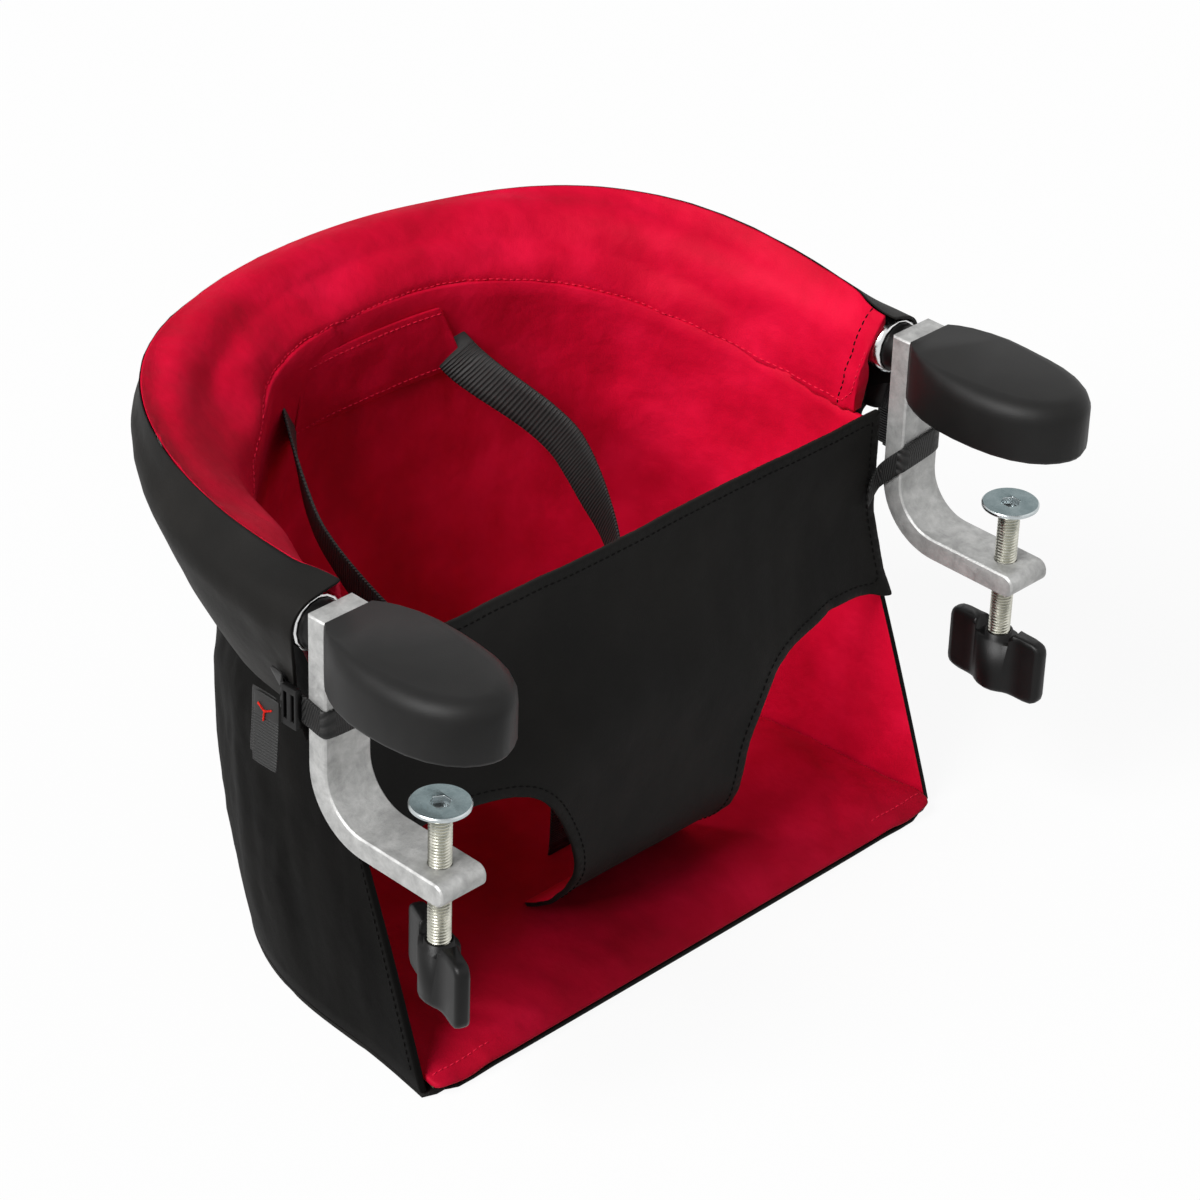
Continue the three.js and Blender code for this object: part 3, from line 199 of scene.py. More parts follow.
# materials
def fabricMaterial(name, look):
    material, graph, shader = newMaterial(name)
    patches = graph.cloudy(look["patchScale"], 3, 0.55)
    creases = graph.bumped(graph.cloudy(look["creaseScale"], 3, 0.5), look["creaseDepth"])
    graph.fill(shader, {
        "Base Color": graph.ramp(patches, (0.3, look["deep"]), (0.5, look["middle"]), (0.72, look["lit"])),
        "Roughness": look["roughness"],
        "Sheen Weight": look["sheen"],
        "Sheen Roughness": 0.4,
        "Sheen Tint": (*look["sheenTint"], 1),
        "Specular IOR Level": look["specular"],
        "Normal": graph.bumped(graph.cloudy(look["threadScale"], 2, 0.6), look["threadDepth"], creases),
    })
    return material


redLook = {
    "deep": (0.46, 0.0008, 0.018), "middle": (0.58, 0.0012, 0.026), "lit": (0.71, 0.004, 0.040),
    "patchScale": 26, "roughness": 0.66, "sheen": 0.05, "sheenTint": (1, 0.2, 0.26), "specular": 0.1,
    "creaseScale": 44, "creaseDepth": 0.0019, "threadScale": 1500, "threadDepth": 0.00012,
}
blackLook = {
    "deep": (0.0042, 0.0040, 0.0037), "middle": (0.0060, 0.0056, 0.0051), "lit": (0.0090, 0.0083, 0.0075),
    "patchScale": 20, "roughness": 0.62, "sheen": 0.012, "sheenTint": (0.9, 0.85, 0.8), "specular": 0.1,
    "creaseScale": 30, "creaseDepth": 0.0013, "threadScale": 1500, "threadDepth": 0.00014,
}


# a copy of a look with every tone scaled by share: the lit and shaded copies of one cloth below, which are painted
# light and painted shade
def shaded(look, share):
    return {**look, **{tone: tuple(part * share for part in look[tone]) for tone in ("deep", "middle", "lit")}}


redCloth = fabricMaterial("redCloth", redLook)
# painted shade: a darker copy of the red cloth for the base pad, which stands in for the shade deep inside the seat
deepRedCloth = fabricMaterial("deepRedCloth", shaded(redLook, 0.68))
blackCloth = fabricMaterial("blackCloth", blackLook)
# painted shade: the outside of the walls takes a darker copy of the black cloth with less sheen, though it is the
# same cloth as the rim cover
wallBlackCloth = fabricMaterial("wallBlackCloth", {**shaded(blackLook, 0.5), "specular": 0.04, "sheen": 0.003})
# painted light: the rim cover takes a lighter copy of the same black cloth
coverBlackCloth = fabricMaterial("coverBlackCloth", shaded(blackLook, 1.4))


def threadMaterial(name, colour):
    material, graph, shader = newMaterial(name)
    graph.fill(shader, {
        "Base Color": graph.ramp(graph.cloudy(500), (0.3, tuple(c * 0.8 for c in colour)), (0.7, colour)),
        "Roughness": 0.75,
        "Specular IOR Level": 0.08,
        "Normal": graph.bumped(graph.cloudy(2500), 0.0001),
    })
    return material


redThread = threadMaterial("redThread", (0.80, 0.018, 0.06))
tackThread = threadMaterial("tackThread", (0.62, 0.02, 0.012))
blackThread = threadMaterial("blackThread", (0.0035, 0.0032, 0.003))


def webbingMaterial(name, look):
    # ribs run across the strap: the attribute "along" is the distance from its end
    material, graph, shader = newMaterial(name)
    along = graph.add("Attribute", {}, "Fac", attribute_name="along")
    turns = graph.add("Math", {0: along, 1: 2 * math.pi / look["pitch"]}, operation="MULTIPLY")
    wave = graph.add("Math", {0: turns}, operation="SINE")
    height = graph.add("MapRange", {"Value": wave, "From Min": -1}, "Result")
    ribs = graph.bumped(height, look["ridge"])
    # painted shade: the grooves between the ribs are coloured much darker than the rib tops, besides being bumped
    graph.fill(shader, {
        "Base Color": graph.ramp(height, (0.05, look["groove"]), (0.6, look["top"])),
        "Roughness": 0.55,
        "Specular IOR Level": 0.35,
        "Normal": graph.bumped(graph.cloudy(1800), 0.00012, ribs),
    })
    return material


ribbedWebbing = webbingMaterial("ribbedWebbing", {
    "pitch": 0.00152, "ridge": 0.00045, "groove": (0.0025, 0.0025, 0.0024), "top": (0.015, 0.0146, 0.0142)})


def metalMaterial(name, look):
    material, graph, shader = newMaterial(name)
    polish = graph.cloudy(look["blotchScale"] * 3, 4)
    smoothest, roughest = look["rough"]
    graph.fill(shader, {
        "Metallic": look["metallic"],
        "Base Color": graph.ramp(
            graph.cloudy(look["blotchScale"], 6, 0.7, 0.3), (0.32, look["dark"]), (0.68, look["light"])),
        "Roughness": graph.add("MapRange", {"Value": polish, "To Min": smoothest, "To Max": roughest}, "Result"),
        "Normal": graph.bumped(graph.cloudy(look["grainScale"], 4, 0.7), look["grainDepth"]),
    })
    return material


castLook = {
    "metallic": 0.6, "blotchScale": 130, "dark": (0.32, 0.32, 0.315), "light": (0.53, 0.53, 0.52),
    "rough": (0.42, 0.66), "grainScale": 900, "grainDepth": 0.00018,
}
zincLook = {
    "metallic": 1, "blotchScale": 160, "dark": (0.42, 0.46, 0.47), "light": (0.56, 0.60, 0.61),
    "rough": (0.2, 0.3), "grainScale": 1400, "grainDepth": 0.00003,
}
# painted reflection: a much darker zinc for the flat top of the screw heads, which stands in for the darker
# surroundings that the top reflects
darkTopReflectionLook = {**zincLook, "dark": (0.165, 0.22, 0.23), "light": (0.25, 0.31, 0.32)}
threadedLook = {**zincLook, "dark": (0.40, 0.40, 0.345), "light": (0.60, 0.59, 0.52)}
tubeLook = {
    "metallic": 1, "blotchScale": 90, "dark": (0.60, 0.60, 0.60), "light": (0.78, 0.78, 0.78),
    "rough": (0.14, 0.26), "grainScale": 1400, "grainDepth": 0.00002,
}
castAluminium = metalMaterial("castAluminium", castLook)
zincPlate = metalMaterial("zincPlate", zincLook)
zincFace = metalMaterial("zincFace", darkTopReflectionLook)
threadedSteel = metalMaterial("threadedSteel", threadedLook)
polishedTube = metalMaterial("polishedTube", tubeLook)


def mouldedMaterial(name, look):
    material, graph, shader = newMaterial(name)
    graph.fill(shader, {
        "Base Color": graph.ramp(graph.cloudy(look["blotchScale"], 4), (0.3, look["dark"]), (0.7, look["light"])),
        "Roughness": look["roughness"],
        "Specular IOR Level": look["specular"],
        "Normal": graph.bumped(graph.cloudy(look["grainScale"], 3, 0.6), look["grainDepth"]),
    })
    return material


softRubber = mouldedMaterial("softRubber", {
    "blotchScale": 60, "dark": (0.0062, 0.006, 0.0058), "light": (0.0092, 0.0089, 0.0086),
    "roughness": 0.5, "specular": 0.19, "grainScale": 1600, "grainDepth": 0.00006})
blackNylon = mouldedMaterial("blackNylon", {
    "blotchScale": 80, "dark": (0.0026, 0.0025, 0.0025), "light": (0.0046, 0.0044, 0.0044),
    "roughness": 0.4, "specular": 0.2, "grainScale": 1600, "grainDepth": 0.00003})
redNylon = mouldedMaterial("redNylon", {
    "blotchScale": 80, "dark": (0.42, 0.006, 0.012), "light": (0.5, 0.008, 0.016),
    "roughness": 0.35, "specular": 0.45, "grainScale": 1600, "grainDepth": 0.00003})
fibreBoard = mouldedMaterial("fibreBoard", {
    "blotchScale": 120, "dark": (0.10, 0.07, 0.045), "light": (0.16, 0.12, 0.08),
    "roughness": 0.8, "specular": 0.3, "grainScale": 700, "grainDepth": 0.0001})
print("materials ready")


# shared shaping
@contextmanager
def editing(mesh):
    shape = bmesh.new()
    shape.from_mesh(mesh)
    yield shape
    shape.to_mesh(mesh)
    shape.free()


def copiedNode(node, name):
    # a merged copy of a CAD node's mesh, as the start of a soft piece
    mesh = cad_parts[node].data.copy()
    mesh.name = name
    mesh.materials.clear()
    with editing(mesh) as shape:
        bmesh.ops.remove_doubles(shape, verts=shape.verts, dist=2e-5)
        bmesh.ops.join_triangles(
            shape, faces=shape.faces, angle_face_threshold=math.radians(35), angle_shape_threshold=math.radians(50))
        for face in shape.faces:
            face.smooth = True
    return addObject(name, mesh)


def makeActive(piece):
    clearSelection()
    piece.select_set(True)
    bpy.context.view_layer.objects.active = piece


def modified(piece, name, kind, **settings):
    modifier = piece.modifiers.new(name, kind)
    for word, value in settings.items():
        setattr(modifier, word, value)
    return modifier


def finishModifiers(piece):
    makeActive(piece)
    for modifier in list(piece.modifiers):
        bpy.ops.object.modifier_apply(modifier=modifier.name)


def refined(piece, levels):
    modified(piece, "smoothing", "SUBSURF", levels=levels, render_levels=levels)
    finishModifiers(piece)


def creaseSharpEdges(piece, degrees, amount):
    with editing(piece.data) as shape:
        layer = shape.edges.layers.float.get("crease_edge") or shape.edges.layers.float.new("crease_edge")
        for edge in shape.edges:
            if len(edge.link_faces) == 2 and edge.calc_face_angle() > math.radians(degrees):
                edge[layer] = amount


def moveVertices(piece, shift):
    mesh = piece.data
    normals = [vertex.normal.copy() for vertex in mesh.vertices]
    for vertex, normal in zip(mesh.vertices, normals):
        vertex.co += shift(vertex.co, normal)
    mesh.update()


def paintByFace(piece, materials, choose):
    piece.data.materials.clear()
    for material in materials:
        piece.data.materials.append(material)
    for face in piece.data.polygons:
        face.material_index = choose(face.center, face.normal)


def shadeSmooth(piece, smooth=True):
    piece.data.polygons.foreach_set("use_smooth", [smooth] * len(piece.data.polygons))


def handOver(piece, body, slotName, *nodes):
    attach(piece, body)
    if nodes:
        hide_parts(*nodes)


def smoothStep(low, high, value):
    share = min(max((value - low) / (high - low), 0), 1)
    return share * share * (3 - 2 * share)


def hump(rise, fall, value):
    return smoothStep(*rise, value) * (1 - smoothStep(*fall, value))


def waves(x, y, z):
    return noise.noise(Vector((x, y, z)))


def surfaceOf(piece):
    return BVHTree.FromObject(piece, bpy.context.evaluated_depsgraph_get())


def rayLength(surface, start, way):
    return surface.ray_cast(start, way)[3] or math.inf


def landings(surface, rays):
    # a row of (place, normal) where rays meet the surface
    hits = [surface.ray_cast(Vector(start), Vector(way)) for start, way in rays]
    return [hit[:2] for hit in hits if hit[0] is not None]


def treeOf(places):
    tree = KDTree(len(places))
    for index, place in enumerate(places):
        tree.insert(place, index)
    tree.balance()
    return tree


# stitches
stitchLook = {"pitch": 0.0036, "length": 0.0025, "radius": 0.00032}
seamStitchLook = {"pitch": 0.0034, "length": 0.0024, "radius": 0.00028}
dashLook = {
    "sides": 6, "farthest": 0.004, "facing": 0.2,
    # each ring's share of the dash's length, and its size and lift in radii
    "rings": ((-0.5, 0.35, -0.1), (-0.28, 1, 0.55), (0.28, 1, 0.55), (0.5, 0.35, -0.1)),
}


def evenlySpaced(points, spacing):
    # smooths a polyline of (place, normal) a little and walks along it at even steps
    if len(points) < 3:
        return []
    eased = [points[0]]
    for before, here, after in zip(points, points[1:], points[2:]):
        eased.append(((before[0] + here[0] * 2 + after[0]) / 4, here[1]))
    eased.append(points[-1])
    walked, needed = [], 0
    for (start, facing), (end, nextFacing) in zip(eased, eased[1:]):
        length = (end - start).length
        if length < 1e-7:
            continue
        while needed <= length:
            share = needed / length
            turned = facing.lerp(nextFacing, share).normalized()
            walked.append((start.lerp(end, share), turned, (end - start).normalized()))
            needed += spacing
        needed -= length
    return walked


def stitchRow(name, rows, surface, look, material, slotName):
    # every stitch is a short dash that dips into the cloth at both ends
    vertices, faces, sides = [], [], dashLook["sides"]
    for row in rows:
        for place, facing, way in evenlySpaced(row, look["pitch"]):
            landed, normal, index, distance = surface.find_nearest(place)
            if landed is None or distance > dashLook["farthest"] or normal.dot(facing) < dashLook["facing"]:
                continue
            side = normal.cross(way).normalized()
            base = len(vertices)
            for share, size, lift in dashLook["rings"]:
                middle = landed + way * look["length"] * share + normal * look["radius"] * lift
                for corner in range(sides):
                    angle = corner * 2 * math.pi / sides
                    aside = side * math.cos(angle) + normal * math.sin(angle)
                    vertices.append(middle + aside * look["radius"] * size)
            last = len(vertices) - sides
            for start in range(base, last, sides):
                for corner in range(sides):
                    a, b = start + corner, start + (corner + 1) % sides
                    faces.append((a, b, b + sides, a + sides))
            faces.append(tuple(base + corner for corner in range(sides - 1, -1, -1)))
            faces.append(tuple(last + corner for corner in range(sides)))
    mesh = bpy.data.meshes.new(name)
    mesh.from_pydata([tuple(v) for v in vertices], [], faces)
    with editing(mesh) as shape:
        bmesh.ops.recalc_face_normals(shape, faces=shape.faces)
    mesh.materials.append(material)
    piece = addObject(name, mesh)
    shadeSmooth(piece)
    handOver(piece, "seat", slotName)


# walls of the seat
wallLook = {
    # each ripple's depth, waves round the seat and up the wall, slant and seed
    "ripples": ((0.0021, 18, 9, 0, 3.1), (0.0016, 55, 12, 20, 7.7), (0.0007, 140, 95, 0, 1.3)),
    "middleY": -0.01, "radius": 0.16, "rise": (0.003, 0.05), "calm": 0.75,
    "calming": (0.17, 0.2), "edgeCalming": (0.002, 0.04),
    "edgeFoot": -0.109, "edgeSlant": 0.34, "hemWidth": 0.0095, "hemFrom": 0.012, "hemTo": 0.155, "hemSteps": 120,
    "hemBeyond": 0.1, "seamReach": 0.0012,
}
wallNodes = ("left_side_panel", "right_side_panel", "back_panel")


def frontEdgeAt(height):
    # the walls' front edge slants back as it rises
    return wallLook["edgeFoot"] + wallLook["edgeSlant"] * height


def wallRipple(place):
    # the same push for both faces of the cloth, out from the middle of the seat
    out = Vector((place.x, place.y - wallLook["middleY"], 0))
    if out.length < 1e-5:
        return Vector()
    around = math.atan2(out.y, out.x) * wallLook["radius"]
    out.normalize()
    ease = smoothStep(*wallLook["rise"], place.z) * (1 - wallLook["calm"] * smoothStep(*wallLook["calming"], place.z))
    ease *= smoothStep(*wallLook["edgeCalming"], place.y - frontEdgeAt(place.z))
    push = sum(depth * waves(around * across, place.z * up + around * slant, seed)
               for depth, across, up, slant, seed in wallLook["ripples"])
    return out * push * ease


def outsideFace(place, normal):
    return normal.x * place.x + normal.y * (place.y + 0.03) > 0 and (normal.z < 0.8 or place.z < 0.1)


def joinedWalls(pieces, name):
    # points of two walls that face each other over a seam meet in the middle, and the walls become one cloth
    owners = [(number, vertex.co.copy()) for number, piece in enumerate(pieces) for vertex in piece.data.vertices]
    tree = treeOf([spot for number, spot in owners])
    joined = bmesh.new()
    for number, piece in enumerate(pieces):
        meeting = set()
        for vertex in piece.data.vertices:
            found = [owners[index] for co, index, gap in tree.find_range(vertex.co, wallLook["seamReach"])]
            others = [spot for owner, spot in found if owner != number]
            if others:
                nearest = min(others, key=lambda spot: (spot - vertex.co).length)
                vertex.co = (vertex.co + nearest) / 2
                meeting.add(vertex.index)
        with editing(piece.data) as part:
            ends = [face for face in part.faces if all(vertex.index in meeting for vertex in face.verts)]
            bmesh.ops.delete(part, geom=ends, context="FACES_ONLY")
        joined.from_mesh(piece.data)
    bmesh.ops.remove_doubles(joined, verts=joined.verts, dist=0.0001)
    mesh = bpy.data.meshes.new(name)
    joined.to_mesh(mesh)
    joined.free()
    for piece in pieces:
        bpy.data.objects.remove(piece)
    return addObject(name, mesh)


sagLook = {
    "inward": 0.015, "upward": 0.005, "forward": 0.35, "forwardFrom": (0.03, 0.09),
    "leftOf": -0.02, "behind": -0.056, "start": (-0.05, 0.01), "end": (0.075, 0.125),
    "bottom": (0.13, 0.185), "top": (0.222, 0.246), "inside": (-0.182, -0.165),
}


def sideSag(place):
    # the loose cloth of the left side leans into the seat round its seam
    if place.x > sagLook["leftOf"] or place.y < sagLook["behind"]:
        return Vector()
    forward = sagLook["inward"] * sagLook["forward"] * smoothStep(*sagLook["forwardFrom"], place.y)
    push = Vector((sagLook["inward"], -forward, sagLook["upward"]))
    along = hump(sagLook["start"], sagLook["end"], place.y)
    height = hump(sagLook["bottom"], sagLook["top"], place.z)
    return push * along * height * smoothStep(*sagLook["inside"], place.x)


def buildWalls():
    piece = joinedWalls([copiedNode(node, node + "_part") for node in wallNodes], "pod_walls_cloth")
    creaseSharpEdges(piece, 50, 0.8)
    refined(piece, 2)
    moveVertices(piece, lambda place, normal: wallRipple(place) + sideSag(place))
    # painted shade: the outside faces take the darker copy of the black cloth, and the inside is the red lining
    paintByFace(piece, [wallBlackCloth, redCloth], lambda place, normal: 0 if outsideFace(place, normal) else 1)
    shadeSmooth(piece)
    handOver(piece, "seat", "black_fabric", *wallNodes)
    return piece


def wallHems():
    # the open front edge of each side is turned in and sewn
    surface = surfaceOf(podWalls)
    low, high, count = wallLook["hemFrom"], wallLook["hemTo"], wallLook["hemSteps"]
    heights = [low + step * (high - low) / (count - 1) for step in range(count)]
    rows = []
    for side in (-1, 1):
        row = landings(surface, [
            ((side * 0.3, frontEdgeAt(height) + wallLook["hemWidth"], height), (-side, 0, 0)) for height in heights])
        rows.append([hit for hit in row if abs(hit[0].x) > wallLook["hemBeyond"]])
    stitchRow("wall_hem_stitches", rows, surface, stitchLook, blackThread, "black_webbing")


podWalls = buildWalls()
wallHems()
print("walls ready")


# front panel
frontLook = {
    # right half of the outline in millimetres, from the top corner round the leg hole to the foot
    "side": [(161.5, 194.5), (161.5, 170), (161.5, 148), (161.5, 124), (161.5, 102.6)],
    "legHole": [(161.5, 102.6), (152, 105.2), (141, 107.6), (130, 108.9), (119, 109.3), (108, 108.8), (98, 107.9),
                (88, 106.4), (80, 104.2), (74, 101), (69, 96.4), (64.8, 90.6), (61, 84), (57.6, 77), (54.9, 70),
                (52.8, 62.5), (51.5, 54.5), (51.1, 46), (51.3, 38), (51.6, 30.5), (51, 23.5), (49.2, 17.6),
                (46.8, 12.9)],
    "grid": 0.0055, "edgeStep": 0.003, "gridHalf": 0.162, "gridLow": 0.012, "gridHigh": 0.195,
    "solidHalf": 0.1612, "solidLow": 0.0135, "solidHigh": 0.1938, "tongueHalf": 0.06,
    "tries": 14, "narrowing": 0.02, "raising": 0.001, "lastTry": (0.985, -0.06), "rayFrom": -0.3,
    "easing": 12, "easedHalf": 0.155, "easedLow": 0.02, "thickness": 0.0022,
    "waveDepth": 0.0024, "crinkleDepth": 0.0007, "wavesOut": (0.12, 0.158), "wavesUp": (0.014, 0.05),
    "hemWidth": 0.0065, "hemDepth": 0.00035, "seamInset": 0.005,
}


def roundedRow(points, step):
    # a smooth line through the points, at even steps
    dense = []
    padded = [points[0]] + list(points) + [points[-1]]
    for before, start, end, after in zip(padded, padded[1:], padded[2:], padded[3:]):
        for share in (0, 0.25, 0.5, 0.75):
            bend = (2 * before - 5 * start + 4 * end - after) * share ** 2
            twist = (3 * start - before - 3 * end + after) * share ** 3
            dense.append(0.5 * ((2 * start) + (end - before) * share + bend + twist))
    dense.append(points[-1])
    length = sum((b - a).length for a, b in zip(dense, dense[1:]))
    count = max(int(round(length / step)), 1)
    row, walked, target = [dense[0]], 0, length / count
    for start, end in zip(dense, dense[1:]):
        span = (end - start).length
        while span > 1e-9 and walked + span >= target * len(row) - 1e-9 and len(row) < count:
            row.append(start.lerp(end, (target * len(row) - walked) / span))
        walked += span
    row.append(dense[-1])
    return row


def frontOutline(look):
    side, hole = (roundedRow([Vector(point) * millimetre for point in look[word]], look["edgeStep"])
                  for word in ("side", "legHole"))
    right = side[:-1] + hole
    left = [Vector((-point.x, point.y)) for point in reversed(right)]
    top, foot = (roundedRow([start, Vector((0, start.y)), end], look["edgeStep"])[1:-1]
                 for start, end in ((left[-1], right[0]), (right[-1], left[0])))
    return right + foot + left + top


def frontDepth(surface, spot):
    # past the solid's own edge the depth of the nearest point inside it holds
    x = min(max(spot.x, -frontLook["solidHalf"]), frontLook["solidHalf"])
    z = min(max(spot.y, frontLook["solidLow"]), frontLook["solidHigh"])
    onTongue = abs(x) < frontLook["tongueHalf"]
    for step in range(frontLook["tries"]):
        aside = x * (1 - frontLook["narrowing"] * step) if onTongue else x
        above = z if onTongue else z + frontLook["raising"] * step
        hit = surface.ray_cast(Vector((aside, frontLook["rayFrom"], above)), Vector((0, 1, 0)))[0]
        if hit is not None:
            return hit.y
    share, depth = frontLook["lastTry"]
    return surface.find_nearest(Vector((x * share, depth, z)))[0].y


def frontGrid(outline, edge):
    # a staggered grid inside the outline, joined to it by triangles
    points, grid, row, z = list(outline), frontLook["grid"], 0, frontLook["gridLow"]
    while z < frontLook["gridHigh"]:
        x = -frontLook["gridHalf"] + (grid / 2 if row % 2 else 0)
        while x < frontLook["gridHalf"]:
            if edge.find((x, z, 0))[2] > grid * 0.6:
                points.append(Vector((x, z)))
            x += grid
        z += grid * 0.87
        row += 1
    closed = [(index, (index + 1) % len(outline)) for index in range(len(outline))]
    flat, edges, faces = delaunay_2d_cdt(points, closed, [], 1, 1e-6)[:3]
    return flat, faces


def easedDepths(surface, flat, faces):
    depths = [frontDepth(surface, spot) for spot in flat]
    neighbours = [set() for spot in flat]
    for face in faces:
        for corner, index in enumerate(face):
            neighbours[index].add(face[corner - 1])
            neighbours[face[corner - 1]].add(index)
    for turn in range(frontLook["easing"]):
        depths = [
            (depth + sum(depths[index] for index in near) / len(near)) / 2
            if near and abs(spot.x) <= frontLook["easedHalf"] and spot.y >= frontLook["easedLow"] else depth
            for depth, near, spot in zip(depths, neighbours, flat)]
    return depths


def frontStitches(piece, outline, edge):
    surface, inset, rays = surfaceOf(piece), frontLook["seamInset"], []
    for before, here, after in zip(outline[-1:] + outline[:-1], outline, outline[1:] + outline[:1]):
        way = after - before
        spot = here + Vector((way.y, -way.x)).normalized() * inset
        if edge.find((spot.x, spot.y, 0))[2] >= inset * 0.93:
            rays.append(((spot.x, frontLook["rayFrom"], spot.y), (0, 1, 0)))
    row = landings(surface, rays)
    stitchRow("front_panel_stitches", [row + row[:1]], surface, stitchLook, blackThread, "black_webbing")


def buildFrontPanel():
    start = copiedNode("front_panel", "front_panel_start")
    outline = frontOutline(frontLook)
    edge = treeOf([(point.x, point.y, 0) for point in outline])
    flat, faces = frontGrid(outline, edge)
    depths = easedDepths(surfaceOf(start), flat, faces)
    places = []
    for spot, depth in zip(flat, depths):
        ease = (1 - smoothStep(*frontLook["wavesOut"], abs(spot.x))) * smoothStep(*frontLook["wavesUp"], spot.y)
        depth += frontLook["waveDepth"] * waves(spot.x * 11, spot.y * 14, 5.5) * ease
        depth += frontLook["crinkleDepth"] * waves(spot.x * 60, spot.y * 45, 2.2) * ease
        near = edge.find((spot.x, spot.y, 0))[2]
        depth -= frontLook["hemDepth"] * (1 - smoothStep(frontLook["hemWidth"] * 0.8, frontLook["hemWidth"], near))
        places.append((spot.x, depth, spot.y))
    mesh = bpy.data.meshes.new("front_panel_cloth")
    mesh.from_pydata(places, [], faces)
    piece = addObject("front_panel_cloth", mesh)
    with editing(mesh) as shape:
        bmesh.ops.recalc_face_normals(shape, faces=shape.faces)
        if sum(face.normal.y * face.calc_area() for face in shape.faces) > 0:
            bmesh.ops.reverse_faces(shape, faces=shape.faces)
    bpy.data.objects.remove(start)
    for material in (blackCloth, redCloth, blackCloth):
        mesh.materials.append(material)
    modified(piece, "clothThickness", "SOLIDIFY", thickness=frontLook["thickness"], offset=-1, material_offset=1,
             material_offset_rim=2, edge_crease_inner=0.6, edge_crease_outer=0.6)
    refined(piece, 1)
    shadeSmooth(piece)
    handOver(piece, "seat", "black_fabric", "front_panel")
    frontStitches(piece, outline, edge)
    return piece


frontPanel = buildFrontPanel()
print("front panel ready")


# padded rim
rimLook = {
    "levels": 2, "pressure": 4, "slack": -0.008, "cap": 0.0055, "frames": 20,
    "heldByTube": 0.0042, "heldByCover": 0.0022, "heldByWalls": 0.003, "freeFrom": 0.004,
    "crinkleDepth": 0.0008, "puckerDepth": 0.0014, "puckerReach": 0.016, "seamOverlap": 0.0012, "lipReach": 0.0045,
    "endBack": 0.0045, "endFade": (-0.058, -0.03), "wallUp": 0.0036, "lipThickness": 0.0012,
    "tuckLimit": 0.008, "tuckReach": (0.006, 0.028), "tuckEdge": (0.003, 0.026), "tuckNeighbours": 6,
    "seamFrom": 0.172, "seamSpan": 0.656, "seamSteps": 120, "seamTop": 0.238, "seamDrop": 0.001, "seamTries": 60,
    "coverFade": (0.001, 0.009), "wallSlack": 0.004,
}
seatMiddleY = 0.02
sideRate = 0.9
sideShare = 0.25


def addGroup(piece, name, chosen):
    group = piece.vertex_groups.new(name=name)
    group.add([vertex.index for vertex in piece.data.vertices if chosen(vertex.co)], 1, "ADD")


def blownUp(piece, look, held):
    # swells the pad with Cloth, then caps how far a point went
    resting = [vertex.co.copy() for vertex in piece.data.vertices]
    addGroup(piece, "held", held)
    makeActive(piece)
    cloth = modified(piece, "swelling", "CLOTH")
    cloth.settings.vertex_group_mass = "held"
    cloth.settings.use_pressure = True
    cloth.settings.uniform_pressure_force = look["pressure"]
    cloth.settings.shrink_min = look["slack"]
    cloth.settings.effector_weights.gravity = 0
    cloth.settings.quality = 5
    cloth.point_cache.frame_start = 1
    cloth.point_cache.frame_end = look["frames"]
    for step in range(1, look["frames"] + 1):
        bpy.context.scene.frame_set(step)
    finishModifiers(piece)
    bpy.context.scene.frame_set(1)
    piece.vertex_groups.clear()
    for vertex, before in zip(piece.data.vertices, resting):
        moved = vertex.co - before
        if moved.length > look["cap"]:
            vertex.co = before + moved.normalized() * look["cap"]


def aroundSeat(place):
    # 0 to 1 round the back, from the right clamp to the left one, with a quarter for each straight side
    if place.y < seatMiddleY:
        run = (seatMiddleY - place.y) * sideRate
        return sideShare - run if place.x > 0 else 1 - sideShare + run
    return sideShare + math.atan2(place.y - seatMiddleY, place.x) / math.pi * 0.5


def castOutwards(share, height):
    # from the middle of the seat towards the wall: where from, and which way
    for side, past in ((1, sideShare - share), (-1, share - (1 - sideShare))):
        if past > 0:
            return Vector((side * 0.02, seatMiddleY - past / sideRate, height)), Vector((side, 0, 0))
    angle = (share - sideShare) * 2 * math.pi
    return Vector((0, seatMiddleY, height)), Vector((math.cos(angle), math.sin(angle), 0))


def lowestOnPad(pad, walls, share):
    # walks down the inside until a wall is met instead of the pad
    below = None
    for step in range(rimLook["seamTries"]):
        start, way = castOutwards(share, rimLook["seamTop"] - step * rimLook["seamDrop"])
        onPad = pad.ray_cast(start, way)
        if onPad[0] is not None and onPad[3] <= rayLength(walls, start, way) + rimLook["wallSlack"]:
            below = onPad[0]
        elif below is not None:
            break
    return below


